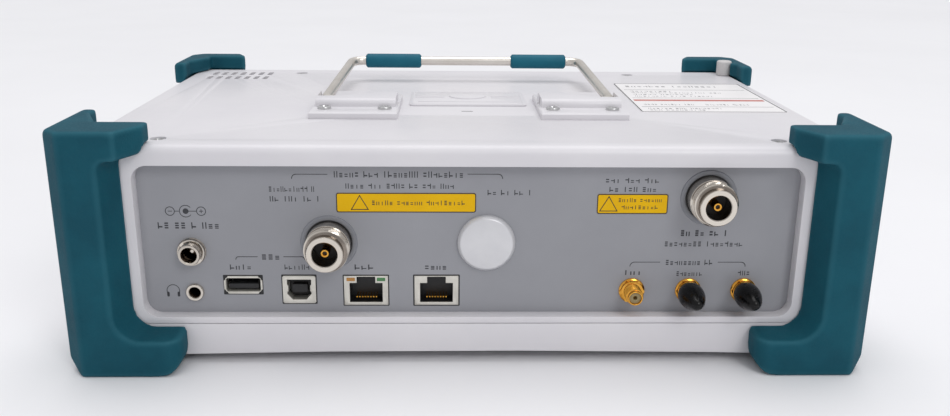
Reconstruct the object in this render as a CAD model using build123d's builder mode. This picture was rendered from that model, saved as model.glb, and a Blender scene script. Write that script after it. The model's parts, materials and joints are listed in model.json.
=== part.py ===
from build123d import *
import math
import os

os.makedirs("parts", exist_ok=True)

# A bench and field vector network analyzer lying on its screen side.
# +X runs along the connector panel, -Y is the way the connectors face, +Z is up through the back cover.

# ------------------------------------------------------------------ overall sizes
overall_width = 290.0
overall_depth = 197.8
overall_height = 89.7

# ------------------------------------------------------------------ corner bumpers
side_guard = 5.3            # elastomer outside the case's side walls
front_guard = 11.9          # deeper at the connector end, to stand past the connectors
rear_guard = 7.3
lip_height = 7.1            # bumper lips above the back cover
foot_height = 3.4           # bumper feet below the case
guard_clearance = 0.15

# ------------------------------------------------------------------ case
case_corner = 8.0
cover_edge = 3.5
cover_wall = 2.6
rear_wall = 5.0
rim_depth = 4.8             # how far the connector panel sits back from the rim
seam_height = 12.3          # front cover's depth, from the case's underside to the seam
seam_gap = 0.3
belly_rise = 1.4            # the front cover's long edge arches up at mid width
belly_half_width = 122.0
face_inset = 3.1            # the keypad face sits this far up inside the front cover's lip
face_thickness = 2.4
face_border = 8.0

case_width = overall_width - 2 * side_guard
case_front = -overall_depth / 2 + front_guard
case_rear = overall_depth / 2 - rear_guard
case_bottom = foot_height
case_top = overall_height - lip_height
case_depth = case_rear - case_front
case_middle = (case_rear + case_front) / 2
seam_z = case_bottom + seam_height
panel_y = case_front + rim_depth
ceiling_z = case_top - cover_wall
inner_width = case_width - 2 * cover_wall
inner_rear = case_rear - rear_wall
inner_depth = inner_rear - panel_y
inner_middle = (inner_rear + panel_y) / 2
inner_corner = case_corner - cover_wall
face_z = case_bottom + face_inset
face_inner_z = face_z + face_thickness
overrun = 1.0               # how far a through cut runs past the wall

# ------------------------------------------------------------------ connector panel
panel_window_width = 237.4
panel_window_height = 56.9
panel_window_sill = 2.7     # rim's lower bar above the seam
panel_corner = 5.5
panel_overlap = 2.2
panel_thickness = 2.0
port_clearance = 0.15
panel_window_z = seam_z + panel_window_sill + panel_window_height / 2

# ports: centres on the panel as (x, height)
low_row = 27.0
rf_out_at = (-51.4, 45.6)
rf_in_at = (85.9, 62.9)
blank_at = (5.7, 45.7)
dc_at = (-101.0, 42.2)
audio_at = (-101.0, 26.4)
usb_host_at = (-83.3, 29.2)
usb_client_at = (-62.9, low_row + 0.4)
lan_at = (-38.4, low_row)
gpio_at = (-12.5, low_row)
reference_x = [59.9, 81.0, 101.7]

# ------------------------------------------------------------------ fixings
screw_radius = 1.5
screw_head_radius = 2.75
screw_head_height = 1.8
screw_clearance = 0.15
boss_radius = 3.9
boss_floor_z = 27.0         # where the two covers' bosses meet
board_gap = 0.6             # main board's edge behind the connector panel
front_screw_y = panel_y + panel_thickness + boss_radius + 0.3
cover_screw_points = [(-111.5, front_screw_y), (111.5, front_screw_y), (-84.0, 78.0), (84.0, 78.0)]

# ------------------------------------------------------------------ tilt stand
plate_width = 35.0
plate_depth = 44.0
plate_thickness = 2.6
plate_x = 46.1
plate_y = -18.3
hump_height = 3.4
hump_front = -28.2
hump_rear = -7.8
hump_inset = 1.2
wire_radius = 2.1
wire_clearance = 0.1
pivot_y = -18.0
pivot_z = case_top + 3.4
leg_foot_x = 59.8
bar_corner_x = 55.4
leg_reach = 74.0            # pivot to bar, seen from above
bar_rise = 6.3              # the folded bar stands this much above the pivots
foot_bend = 4.5
bar_bend = 6.0
sleeve_radius = 3.4
sleeve_length = 27.0
sleeve_x = 35.4
sleeve_bore_gap = 0.05
plate_screw_y = -31.6
plate_screw_spacing = 24.2

# ------------------------------------------------------------------ badge plate and rating label
badge_size = (50.0, 32.0)
badge_y = 4.0
badge_thickness = 0.7
badge_oval = (8.2, 7.4)
badge_oval_y = 8.0
badge_oval_rise = 0.5
label_size = (61.6, 72.0)
label_at = (102.7, 13.0)
label_thickness = 0.2

# ------------------------------------------------------------------ stylus
stylus_x = 135.0
stylus_y = 79.5
stylus_radius = 2.8
stylus_cap_radius = 3.8
stylus_cap_height = 7.4
stylus_length = 60.0
stylus_clearance = 0.3

# ------------------------------------------------------------------ keypad face
display_x = -41.0
display_y = 0.0
window_width = 172.0
window_height = 112.0
window_thickness = 1.5
window_gap = 0.2
window_ledge = 4.0
display_width = 165.0
display_height = 104.0
display_depth = 5.0
key_gap = 0.3
key_proud = 1.3             # keys stand this far below the face
key_travel = 1.0
key_flange = 1.0
key_stem = 2.5
number_key = (15.0, 10.0)
number_pitch_x = 20.0
number_pitch_y = 16.0
number_pad_x = 102.0
number_pad_y = 6.0
soft_key = (10.0, 12.0)
soft_key_x = 60.0
soft_pitch = 22.0
soft_key_count = 5
power_radius = 5.0
power_at = (84.0, 56.0)
knob_radius = 15.0
knob_height = 5.4
knob_shaft_radius = 3.0
knob_at = (102.0, -52.0)
knob_shaft_gap = 0.3
speaker_radius = 14.0
speaker_height = 5.0
speaker_at = (112.0, 60.0)
speaker_slot = (18.0, 1.6)
speaker_slot_pitch = 3.6
speaker_slot_count = 5

# ------------------------------------------------------------------ inner assemblies
board_thickness = 1.5
main_board_z = 18.8
main_board_width = 206.0
main_board_front = panel_y + panel_thickness + board_gap
main_board_rear = 64.0
rf_box = (164.0, 54.0, 38.0)
rf_box_at = (18.0, -35.0)
rf_box_wall = 1.8
rf_box_z = 33.0
rf_lid_thickness = 1.6
battery = (110.0, 82.0, 21.0)
battery_z = 47.6
battery_gap = 0.6
tray_wall = 1.6
door_thickness = 2.4
door_gap = 0.3
door_margin = 8.0
door_scoop = (40.0, 9.0)
door_scoop_depth = 1.2
fan_at = (-113.5, 69.0)
fan_size = 30.0
fan_depth = 8.0
fan_gap = 0.6
fan_floor = 1.2
fan_hub_radius = 6.5
fan_spoke = 2.0
fan_blades = 7
fan_blade_thickness = 1.6
vent_slot = (9.0, 2.4)
vent_pitch = (4.6, 13.0)
vent_count = (7, 2)


def facing_front(y):
    """Plane across Y whose normal looks out of the connector end."""
    return Plane.XZ.offset(-y)


def port_plane(x, z):
    """Plane through a port's axis: local x is the radius, local y runs out of the panel."""
    return Plane(origin=(x, panel_y, z), x_dir=(1, 0, 0), z_dir=(0, 0, -1))


def port_axis(x, z):
    return Axis((x, panel_y, z), (0, -1, 0))


def turned(x, z, outline):
    """A turned piece about a port's axis, from (radius, distance out of the panel) points."""
    with BuildPart() as piece:
        with BuildSketch(port_plane(x, z)):
            with BuildLine():
                Polyline(*outline, close=True)
            make_face()
        revolve(axis=port_axis(x, z))
    return piece.part


def save(builder, name):
    builder.part.label = name
    export_step(builder.part, "parts/" + name + ".step")


# ================================================================== back cover
key_centres = [
    (number_pad_x + (column - 1) * number_pitch_x, number_pad_y + (1.5 - row) * number_pitch_y)
    for row in range(4)
    for column in range(3)
]
soft_centres = [
    (soft_key_x, (row - (soft_key_count - 1) / 2) * soft_pitch) for row in range(soft_key_count)
]
door_width = battery[0] + 2 * battery_gap + 2 * door_margin
door_height = battery[2] + 2 * battery_gap + 2 * door_margin
door_z = battery_z + battery[2] / 2
plate_screw_points = [
    (side * plate_x + offset, plate_screw_y)
    for side in (-1, 1)
    for offset in (-plate_screw_spacing / 2, plate_screw_spacing / 2)
]

with BuildPart() as back_cover:
    with BuildSketch(Plane.XY.offset(seam_z + seam_gap)):
        with Locations((0, case_middle)):
            RectangleRounded(case_width, case_depth, case_corner)
    extrude(amount=case_top - seam_z - seam_gap)
    fillet(back_cover.faces().sort_by(Axis.Z)[-1].edges(), cover_edge)
    with BuildSketch(Plane.XY.offset(seam_z - overrun)):
        with Locations((0, inner_middle)):
            RectangleRounded(inner_width, inner_depth, inner_corner)
    extrude(amount=ceiling_z - seam_z + overrun, mode=Mode.SUBTRACT)
    # window of the connector panel
    with BuildSketch(facing_front(case_front - overrun)):
        with Locations((0, panel_window_z)):
            RectangleRounded(panel_window_width, panel_window_height, panel_corner)
    extrude(amount=-(rim_depth + 2 * overrun), mode=Mode.SUBTRACT)
    # battery opening with a rebate for its door
    with BuildSketch(facing_front(case_rear)):
        with Locations((0, door_z)):
            Rectangle(door_width + 2 * door_gap, door_height + 2 * door_gap)
    extrude(amount=door_thickness + door_gap, mode=Mode.SUBTRACT)
    with BuildSketch(facing_front(case_rear)):
        with Locations((0, door_z)):
            Rectangle(battery[0] + 2 * battery_gap, battery[2] + 2 * battery_gap)
    extrude(amount=rear_wall + overrun, mode=Mode.SUBTRACT)
    # screw bosses, the stylus tube and the stand's blind bosses
    with BuildSketch(Plane.XY.offset(boss_floor_z)):
        with Locations(*cover_screw_points):
            Circle(boss_radius)
    extrude(amount=ceiling_z - boss_floor_z + overrun)
    with BuildSketch(Plane.XY.offset(case_top - stylus_length)):
        with Locations((stylus_x, stylus_y)):
            Circle(stylus_radius + stylus_clearance + 1.3)
    extrude(amount=stylus_length - cover_wall + overrun)
    with BuildSketch(Plane.XY.offset(ceiling_z - 2 * cover_wall)):
        with Locations(*plate_screw_points):
            Circle(boss_radius)
    extrude(amount=2 * cover_wall + overrun)
    with BuildSketch(Plane.XY.offset(case_top)):
        with Locations(*cover_screw_points):
            Circle(screw_head_radius + screw_clearance)
    extrude(amount=-screw_head_height, mode=Mode.SUBTRACT)
    with BuildSketch(Plane.XY.offset(case_top)):
        with Locations(*cover_screw_points):
            Circle(screw_radius + screw_clearance)
    extrude(amount=-(case_top - boss_floor_z + overrun), mode=Mode.SUBTRACT)
    with BuildSketch(Plane.XY.offset(case_top)):
        with Locations(*plate_screw_points):
            Circle(screw_radius + screw_clearance)
    extrude(amount=-2 * cover_wall, mode=Mode.SUBTRACT)
    with BuildSketch(Plane.XY.offset(case_top)):
        with Locations((stylus_x, stylus_y)):
            Circle(stylus_radius + stylus_clearance)
    extrude(amount=-(stylus_length - 2.0), mode=Mode.SUBTRACT)
    # fan outlet slots
    with BuildSketch(Plane.XY.offset(case_top)):
        with Locations(fan_at):
            with GridLocations(vent_pitch[0], vent_pitch[1], vent_count[0], vent_count[1]):
                SlotOverall(vent_slot[0], vent_slot[1], rotation=90)
    extrude(amount=-(cover_wall + overrun), mode=Mode.SUBTRACT)
save(back_cover, "back_cover")

# ================================================================== front cover with the keypad face
with BuildPart() as front_cover:
    with BuildSketch(Plane.XY.offset(case_bottom)):
        with Locations((0, case_middle)):
            RectangleRounded(case_width, case_depth, case_corner)
    extrude(amount=seam_height)
    # long shallow arch along the underside, between the feet
    with BuildSketch(facing_front(case_front - overrun)):
        with BuildLine():
            belly = ThreePointArc(
                (-belly_half_width, case_bottom),
                (0, case_bottom + belly_rise),
                (belly_half_width, case_bottom),
            )
            Polyline(
                belly @ 1,
                (belly_half_width, case_bottom - overrun),
                (-belly_half_width, case_bottom - overrun),
                belly @ 0,
            )
        make_face()
    extrude(amount=-(case_depth + 2 * overrun), mode=Mode.SUBTRACT)
    # the recessed face below and the cavity above it
    with BuildSketch(Plane.XY.offset(case_bottom - overrun)):
        with Locations((0, case_middle)):
            RectangleRounded(
                case_width - 2 * face_border, case_depth - 2 * face_border, case_corner
            )
    extrude(amount=face_inset + overrun, mode=Mode.SUBTRACT)
    with BuildSketch(Plane.XY.offset(face_inner_z)):
        with Locations((0, inner_middle)):
            RectangleRounded(inner_width, inner_depth, inner_corner)
    extrude(amount=seam_height, mode=Mode.SUBTRACT)
    # display opening with a rebate for the window
    with BuildSketch(Plane.XY.offset(face_z - overrun)):
        with Locations((display_x, display_y)):
            RectangleRounded(window_width + 2 * window_gap, window_height + 2 * window_gap, 3.0)
    extrude(amount=window_thickness + overrun, mode=Mode.SUBTRACT)
    with BuildSketch(Plane.XY.offset(face_z)):
        with Locations((display_x, display_y)):
            Rectangle(window_width - 2 * window_ledge, window_height - 2 * window_ledge)
    extrude(amount=face_thickness + overrun, mode=Mode.SUBTRACT)
    # key, knob and power button openings
    with BuildSketch(Plane.XY.offset(face_z - overrun)):
        with Locations(*key_centres):
            RectangleRounded(number_key[0] + 2 * key_gap, number_key[1] + 2 * key_gap, 1.5)
        with Locations(*soft_centres):
            RectangleRounded(soft_key[0] + 2 * key_gap, soft_key[1] + 2 * key_gap, 1.5)
        with Locations(power_at):
            Circle(power_radius + key_gap)
        with Locations(knob_at):
            Circle(knob_shaft_radius + knob_shaft_gap)
        # speaker slots
        with Locations(speaker_at):
            with GridLocations(0, speaker_slot_pitch, 1, speaker_slot_count):
                SlotOverall(*speaker_slot)
    extrude(amount=face_thickness + 2 * overrun, mode=Mode.SUBTRACT)
    # bosses that take the cover screws
    with BuildSketch(Plane.XY.offset(face_inner_z - overrun)):
        with Locations(*cover_screw_points):
            Circle(boss_radius)
    extrude(amount=boss_floor_z - face_inner_z + overrun)
    with BuildSketch(Plane.XY.offset(boss_floor_z)):
        with Locations(*cover_screw_points):
            Circle(screw_radius + screw_clearance)
    extrude(amount=-(boss_floor_z - face_inner_z - 2.0), mode=Mode.SUBTRACT)
save(front_cover, "front_cover")

# ================================================================== connector panel
usb_host_cutout = (14.4, 7.6)
usb_client_cutout = (12.5, 11.2)
modular_cutout = (16.6, 11.9)
n_thread_radius = 7.94
n_body_radius = 8.0
dc_barrel_radius = 4.0
audio_nose_radius = 2.9
blank_shank_radius = 7.8
sma_shank_radius = 3.1

with BuildPart() as connector_panel:
    with BuildSketch(facing_front(panel_y)):
        with Locations((0, panel_window_z)):
            Rectangle(
                panel_window_width + 2 * panel_overlap, panel_window_height + 2 * panel_overlap
            )
        with Locations(rf_out_at, rf_in_at):
            Circle(n_body_radius + port_clearance, mode=Mode.SUBTRACT)
        with Locations(blank_at):
            Circle(blank_shank_radius + port_clearance, mode=Mode.SUBTRACT)
        with Locations(dc_at):
            Circle(dc_barrel_radius + port_clearance, mode=Mode.SUBTRACT)
        with Locations(audio_at):
            Circle(audio_nose_radius + port_clearance, mode=Mode.SUBTRACT)
        with Locations(*[(x, low_row) for x in reference_x]):
            Circle(sma_shank_radius + port_clearance, mode=Mode.SUBTRACT)
        with Locations(usb_host_at):
            Rectangle(*usb_host_cutout, mode=Mode.SUBTRACT)
        with Locations(usb_client_at):
            Rectangle(*usb_client_cutout, mode=Mode.SUBTRACT)
        with Locations(lan_at, gpio_at):
            Rectangle(*modular_cutout, mode=Mode.SUBTRACT)
    extrude(amount=-panel_thickness)
save(connector_panel, "connector_panel")

# ================================================================== corner bumpers
outer_chamfer = 6.4
foot_chamfer = 5.0
top_chamfer = 1.5
foot_corner = 8.0
foot_end_round = 10.0
inner_edge_x = 121.3
front_crease_x = 126.3
foot_arm_z = 15.4
foot_crease_z = 13.6
top_arm_z = 79.4
lip_corner_x = 132.8
lip_tip_x = 138.8


def corner_guard(side, end, case_end, lip_inner, foot_end_x, lip_end_x, lip_crease_x, tips, lip_bend):
    """One moulded bumper. It is drawn in the +X +Y quarter and mirrored to its own corner.

    tips holds the side arm's ends along Y: at the lip, at the foot and at mid height.
    lip_bend holds the lip's inner bend as the two Y values where its taper starts and ends.
    """
    half_width = overall_width / 2
    outer_y = overall_depth / 2
    lip_tip, foot_tip, waist_tip = tips
    with BuildPart() as guard:
        # seen from above: the L of the two arms, with the lip's tapering side arm
        with BuildSketch():
            with BuildLine():
                FilletPolyline(
                    (half_width, lip_tip),
                    (half_width, outer_y - outer_chamfer),
                    (half_width - outer_chamfer, outer_y),
                    (foot_end_x, outer_y),
                    (foot_end_x, lip_inner),
                    (lip_corner_x, lip_inner),
                    (lip_corner_x, lip_bend[0]),
                    (lip_tip_x, lip_bend[1]),
                    (lip_tip_x, lip_tip),
                    radius=[2.5, 1.5, 1.5, foot_end_round * 0.6, 0.5, 1.5, 1.0, 1.0, 1.0],
                    close=True,
                )
            make_face()
        extrude(amount=overall_height)
        # seen from the end: foot and top corners
        with BuildSketch(facing_front(0)):
            with BuildLine():
                FilletPolyline(
                    (foot_end_x, 0),
                    (half_width - foot_chamfer, 0),
                    (half_width, foot_chamfer),
                    (half_width, overall_height - top_chamfer),
                    (half_width - top_chamfer, overall_height),
                    (foot_end_x, overall_height),
                    radius=[foot_corner, 1.0, 1.0, 0.5, 0.5, 0],
                    close=True,
                )
            make_face()
        extrude(amount=-(outer_y + overrun), mode=Mode.INTERSECT)
        # window between the arms: straight through beside the case, flaring to the crease in front
        window = (
            (foot_end_x - 20, -overrun),
            (foot_end_x, -overrun),
            (foot_end_x, foot_arm_z),
            (inner_edge_x, foot_arm_z),
            (inner_edge_x, top_arm_z),
            (lip_end_x, top_arm_z),
            (lip_end_x, overall_height + overrun),
            (foot_end_x - 20, overall_height + overrun),
        )
        flare = (
            (foot_end_x - 20, -overrun),
            (foot_end_x, -overrun),
            (foot_end_x, foot_crease_z),
            (front_crease_x, foot_crease_z),
            (front_crease_x, top_arm_z),
            (lip_crease_x, top_arm_z),
            (lip_crease_x, overall_height + overrun),
            (foot_end_x - 20, overall_height + overrun),
        )
        with BuildSketch(facing_front(case_end - 25)):
            with BuildLine():
                FilletPolyline(*window, radius=[0, 0, 1.5, 7.5, 2.4, 2.8, 0, 0], close=True)
            make_face()
        extrude(amount=-25, mode=Mode.SUBTRACT)
        with BuildSketch(facing_front(case_end)):
            with BuildLine():
                FilletPolyline(*window, radius=[0, 0, 1.5, 7.5, 2.4, 2.8, 0, 0], close=True)
            make_face()
        with BuildSketch(facing_front(outer_y)):
            with BuildLine():
                FilletPolyline(*flare, radius=[0, 0, 1.5, 9.5, 3.4, 1.5, 0, 0], close=True)
            make_face()
        loft(ruled=True, mode=Mode.SUBTRACT)
        # side window between the two side arms
        with BuildSketch(Plane.YZ.offset(lip_corner_x - 12)):
            with BuildLine():
                FilletPolyline(
                    (foot_tip - 30, -overrun),
                    (foot_tip, -overrun),
                    (foot_tip, foot_arm_z),
                    (waist_tip, foot_arm_z),
                    (waist_tip, top_arm_z),
                    (lip_tip, top_arm_z),
                    (lip_tip, overall_height + overrun),
                    (foot_tip - 30, overall_height + overrun),
                    radius=[0, 0, 1.5, 7.5, 2.4, 2.0, 0, 0],
                    close=True,
                )
            make_face()
        extrude(amount=40, mode=Mode.SUBTRACT)
        # seat on the case
        with BuildSketch(Plane.XY.offset(case_bottom - guard_clearance)):
            with Locations((0, case_end - 100 + guard_clearance)):
                RectangleRounded(case_width + 2 * guard_clearance, 200, case_corner)
        extrude(amount=case_top - case_bottom + 2 * guard_clearance, mode=Mode.SUBTRACT)
        # notch where the stylus stands beside the lip
        if side > 0 and end > 0:
            with BuildSketch(Plane.XY.offset(case_top)):
                with Locations((stylus_x, stylus_y)):
                    Circle(stylus_cap_radius + 0.5)
                with Locations((stylus_x - stylus_cap_radius, stylus_y)):
                    Rectangle(2 * stylus_cap_radius, 2 * stylus_cap_radius + 1.0)
            extrude(amount=lip_height + overrun, mode=Mode.SUBTRACT)
        if side < 0:
            mirror(about=Plane.YZ, mode=Mode.REPLACE)
        if end < 0:
            mirror(about=Plane.XZ, mode=Mode.REPLACE)
    return guard


for side, side_name in ((-1, "left"), (1, "right")):
    front_guard_piece = corner_guard(
        side, -1, -case_front, 80.4, 103.5, 113.0, 119.3, (58.0, 54.0, 70.0), (77.5, 65.0)
    )
    save(front_guard_piece, "bumper_front_" + side_name)
    rear_guard_piece = corner_guard(
        side, 1, case_rear, 89.6, 106.0, 115.6, 119.3, (62.0, 58.0, 74.0), (84.0, 70.0)
    )
    save(rear_guard_piece, "bumper_rear_" + side_name)

# ================================================================== ports
# type N sockets, with the washer, the threaded barrel and the rear lead to the radio box
n_root_radius = 8.1
n_root_end = 5.8
n_thread_start = 6.4
n_thread_end = 10.4
n_nose_radius = 6.75
n_relief_radius = 7.3
n_ring_radii = (8.75, 10.3)
n_ring_height = 0.4
n_front = 13.8
n_bore_radius = 4.35
n_pin_floor = 4.5
rf_lead_end = panel_y - (rf_box_at[1] - rf_box[1] / 2)
n_outline = [
    (0, rf_lead_end),
    (1.8, rf_lead_end),
    (1.8, -14.0),
    (6.0, -14.0),
    (6.0, -5.0),
    (n_ring_radii[1], -5.0),
    (n_ring_radii[1], -panel_thickness),
    (n_body_radius, -panel_thickness),
    (n_body_radius, 0),
    (n_ring_radii[1], 0),
    (n_ring_radii[1], n_ring_height),
    (n_ring_radii[0], n_ring_height),
    (n_ring_radii[0], 0.1),
    (n_root_radius, 0.1),
    (n_root_radius, n_root_end),
    (n_relief_radius, n_root_end),
    (n_relief_radius, n_thread_start),
    (n_thread_radius, n_thread_start),
    (n_thread_radius, n_thread_end),
    (n_nose_radius, n_thread_end),
    (n_nose_radius, n_front - 0.4),
    (n_nose_radius - 0.4, n_front),
    (n_bore_radius + 0.8, n_front),
    (n_bore_radius, n_front - 0.8),
    (n_bore_radius, n_pin_floor),
    (0, n_pin_floor),
]
for port_name, port_at in (("rf_out_connector", rf_out_at), ("rf_in_connector", rf_in_at)):
    with BuildPart() as n_socket:
        add(turned(*port_at, n_outline))
    save(n_socket, port_name)

# gold centre contacts of the two type N sockets
with BuildPart() as rf_contacts:
    for port_at in (rf_out_at, rf_in_at):
        contact = [(0, n_pin_floor), (1.52, n_pin_floor), (1.52, 12.0), (0.8, 12.0), (0.8, 7.0), (0, 7.0)]
        add(turned(*port_at, contact))
save(rf_contacts, "rf_contacts")

# blanking plug in the unused port hole
with BuildPart() as port_blank_plug:
    add(
        turned(
            *blank_at,
            [
                (0, -5.0),
                (blank_shank_radius, -5.0),
                (blank_shank_radius, 0),
                (10.5, 0),
                (10.5, 1.2),
                (9.5, 2.3),
                (0, 2.3),
            ],
        )
    )
save(port_blank_plug, "port_blank_plug")

# direct current inlet with its nut and centre pin
dc_bore_radius = 2.75
dc_nut_radius = 5.2
with BuildPart() as dc_jack:
    add(
        turned(
            *dc_at,
            [
                (0, -13.0),
                (5.4, -13.0),
                (5.4, -panel_thickness),
                (dc_barrel_radius, -panel_thickness),
                (dc_barrel_radius, 0),
                (dc_nut_radius, 0),
                (dc_nut_radius, 2.0),
                (dc_barrel_radius, 2.0),
                (dc_barrel_radius, 4.8),
                (dc_bore_radius, 4.8),
                (dc_bore_radius, -9.0),
                (1.0, -9.0),
                (1.0, 2.5),
                (0, 2.5),
            ],
        )
    )
save(dc_jack, "dc_jack")

# headphone socket
audio_bore_radius = 1.8
audio_ring_radius = 3.3
with BuildPart() as audio_jack:
    add(
        turned(
            *audio_at,
            [
                (0, -16.0),
                (5.0, -16.0),
                (5.0, -panel_thickness),
                (audio_nose_radius, -panel_thickness),
                (audio_nose_radius, 0),
                (audio_ring_radius, 0),
                (audio_ring_radius, 1.1),
                (audio_bore_radius, 1.1),
                (audio_bore_radius, -14.5),
                (0, -14.5),
            ],
        )
    )
save(audio_jack, "audio_jack")


def socket_shell(at, outside, depth, proud):
    """Block of a rectangular socket, from its proud mouth to behind the panel."""
    with BuildPart() as shell:
        with BuildSketch(facing_front(panel_y - proud)):
            with Locations(at):
                Rectangle(*outside)
        extrude(amount=-(depth + proud))
    return shell.part


usb_host_outside = (13.4, 6.6)
usb_host_mouth = (12.5, 5.1)
usb_host_tongue = (11.0, 1.9)
with BuildPart() as usb_host_port:
    add(socket_shell(usb_host_at, usb_host_outside, 14.0, 0.4))
    with BuildSketch(facing_front(panel_y - 0.4)):
        with Locations(usb_host_at):
            Rectangle(*usb_host_mouth)
    extrude(amount=-13.0, mode=Mode.SUBTRACT)
    with BuildSketch(facing_front(panel_y + 0.8)):
        with Locations((usb_host_at[0], usb_host_at[1] - 0.8)):
            Rectangle(*usb_host_tongue)
    extrude(amount=-12.4)
save(usb_host_port, "usb_host_port")

usb_client_outside = (12.1, 10.8)
with BuildPart() as usb_client_port:
    add(socket_shell(usb_client_at, usb_client_outside, 16.0, 0.4))
    with BuildSketch(facing_front(panel_y - 0.4)):
        with Locations(usb_client_at):
            with BuildLine():
                Polyline(
                    (-2.5, -3.9),
                    (2.5, -3.9),
                    (4.4, -1.7),
                    (4.4, 3.9),
                    (-4.4, 3.9),
                    (-4.4, -1.7),
                    close=True,
                )
            make_face()
    extrude(amount=-15.0, mode=Mode.SUBTRACT)
    with BuildSketch(facing_front(panel_y + 1.5)):
        with Locations(usb_client_at):
            Rectangle(5.6, 3.2)
    extrude(amount=-13.5)
save(usb_client_port, "usb_client_port")

# the two eight-way modular sockets, latch slot up
modular_outside = (16.2, 11.5)
modular_mouth = (12.1, 7.5)
modular_drop = 0.85         # the mouth sits this far below the shell's centre
modular_depth = 15.0
latch_slot = (6.8, 2.5)
for port_name, port_at in (("lan_jack", lan_at), ("gpio_jack", gpio_at)):
    with BuildPart() as modular_jack:
        add(socket_shell(port_at, modular_outside, 18.0, 0.3))
        with BuildSketch(facing_front(panel_y - 0.3)):
            with Locations((port_at[0], port_at[1] - modular_drop)):
                Rectangle(*modular_mouth)
            with Locations((port_at[0], port_at[1] - modular_drop + modular_mouth[1] / 2)):
                Rectangle(latch_slot[0], 2 * latch_slot[1])
        extrude(amount=-modular_depth, mode=Mode.SUBTRACT)
    save(modular_jack, port_name)

# three SMA sockets: locating, trigger and frequency reference
sma_thread_radius = 3.175
sma_hex_flat = 8.0
sma_hex_height = 1.8
sma_thread_end = 6.9
sma_nose_radius = 2.72
sma_front = 8.3
with BuildPart() as sma_connectors:
    for x in reference_x:
        add(
            turned(
                x,
                low_row,
                [
                    (0, -12.0),
                    (2.0, -12.0),
                    (2.0, -5.0),
                    (4.6, -5.0),
                    (4.6, -panel_thickness),
                    (sma_shank_radius, -panel_thickness),
                    (sma_shank_radius, 0),
                    (4.8, 0),
                    (4.8, 0.7),
                    (sma_thread_radius, 0.7),
                    (sma_thread_radius, sma_thread_end),
                    (sma_nose_radius, sma_thread_end),
                    (sma_nose_radius, sma_front),
                    (2.3, sma_front),
                    (2.3, 2.2),
                    (0.65, 2.2),
                    (0.65, 6.8),
                    (0, 6.8),
                ],
            )
        )
    with BuildSketch(facing_front(panel_y - 0.7)):
        with Locations(*[(x, low_row) for x in reference_x]):
            RegularPolygon(sma_hex_flat / 2, 6, major_radius=False)
            Circle(sma_thread_radius - 0.3, mode=Mode.SUBTRACT)
    extrude(amount=sma_hex_height - 0.7)
save(sma_connectors, "sma_connectors")

# rubber dust caps on the trigger and reference sockets
cap_start = 2.3
cap_bore_gap = 0.12
cap_bore_end = sma_front + 0.3
cap_tip_radius = 2.3
cap_tip_centre = 13.6
for cap_name, x in (("trigger_cap", reference_x[1]), ("reference_cap", reference_x[2])):
    with BuildPart() as dust_cap:
        with BuildSketch(port_plane(x, low_row)):
            with BuildLine():
                skirt = Line((sma_thread_radius + cap_bore_gap, cap_start), (4.2, cap_start))
                bulb = ThreePointArc(skirt @ 1, (4.75, 5.8), (4.3, 9.2))
                tip = CenterArc((0, cap_tip_centre), cap_tip_radius, 20, 70)
                ThreePointArc(bulb @ 1, (3.45, 12.0), tip @ 0)
                Polyline(
                    tip @ 1,
                    (0, cap_bore_end),
                    (sma_thread_radius + cap_bore_gap, cap_bore_end),
                    skirt @ 0,
                )
            make_face()
        revolve(axis=port_axis(x, low_row))
    save(dust_cap, cap_name)

# ================================================================== tilt stand
hump_width = plate_width - 2 * hump_inset
slot_inner_x = leg_foot_x - foot_bend - 0.4
slot_outer_x = leg_foot_x + wire_radius + 0.3
hump_top_z = case_top + plate_thickness + hump_height
for side, side_name in ((-1, "left"), (1, "right")):
    with BuildPart() as hinge_plate:
        with BuildSketch(Plane.XY.offset(case_top)):
            with Locations((side * plate_x, plate_y)):
                Rectangle(plate_width, plate_depth)
        extrude(amount=plate_thickness)
        chamfer(hinge_plate.faces().sort_by(Axis.Z)[-1].edges(), 0.5)
        # raised hump over the wire's end
        with BuildSketch(Plane.YZ.offset(side * plate_x - hump_width / 2)):
            with BuildLine():
                FilletPolyline(
                    (hump_front, case_top + 1.0),
                    (hump_front, hump_top_z),
                    (hump_rear, hump_top_z),
                    (hump_rear, case_top + 1.0),
                    radius=[0, 2.6, 2.6, 0],
                    close=True,
                )
            make_face()
        extrude(amount=hump_width)
        # bore for the pivot and the slot that the leg swings in
        with BuildSketch(Plane.YZ):
            with Locations((pivot_y, pivot_z)):
                Circle(wire_radius + wire_clearance)
        extrude(amount=side * (slot_inner_x + overrun), mode=Mode.SUBTRACT)
        with BuildSketch(Plane.XY.offset(case_top + 0.7)):
            with Locations((side * (slot_inner_x + slot_outer_x) / 2, 0)):
                Rectangle(slot_outer_x - slot_inner_x, 2 * (-pivot_y + wire_radius + 1.0))
        extrude(amount=hump_height + plate_thickness, mode=Mode.SUBTRACT)
        with BuildSketch(Plane.XY.offset(case_top)):
            with Locations(*[point for point in plate_screw_points if point[0] * side > 0]):
                Circle(screw_radius + screw_clearance)
        extrude(amount=plate_thickness + overrun, mode=Mode.SUBTRACT)
    save(hinge_plate, "hinge_plate_" + side_name)

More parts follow.
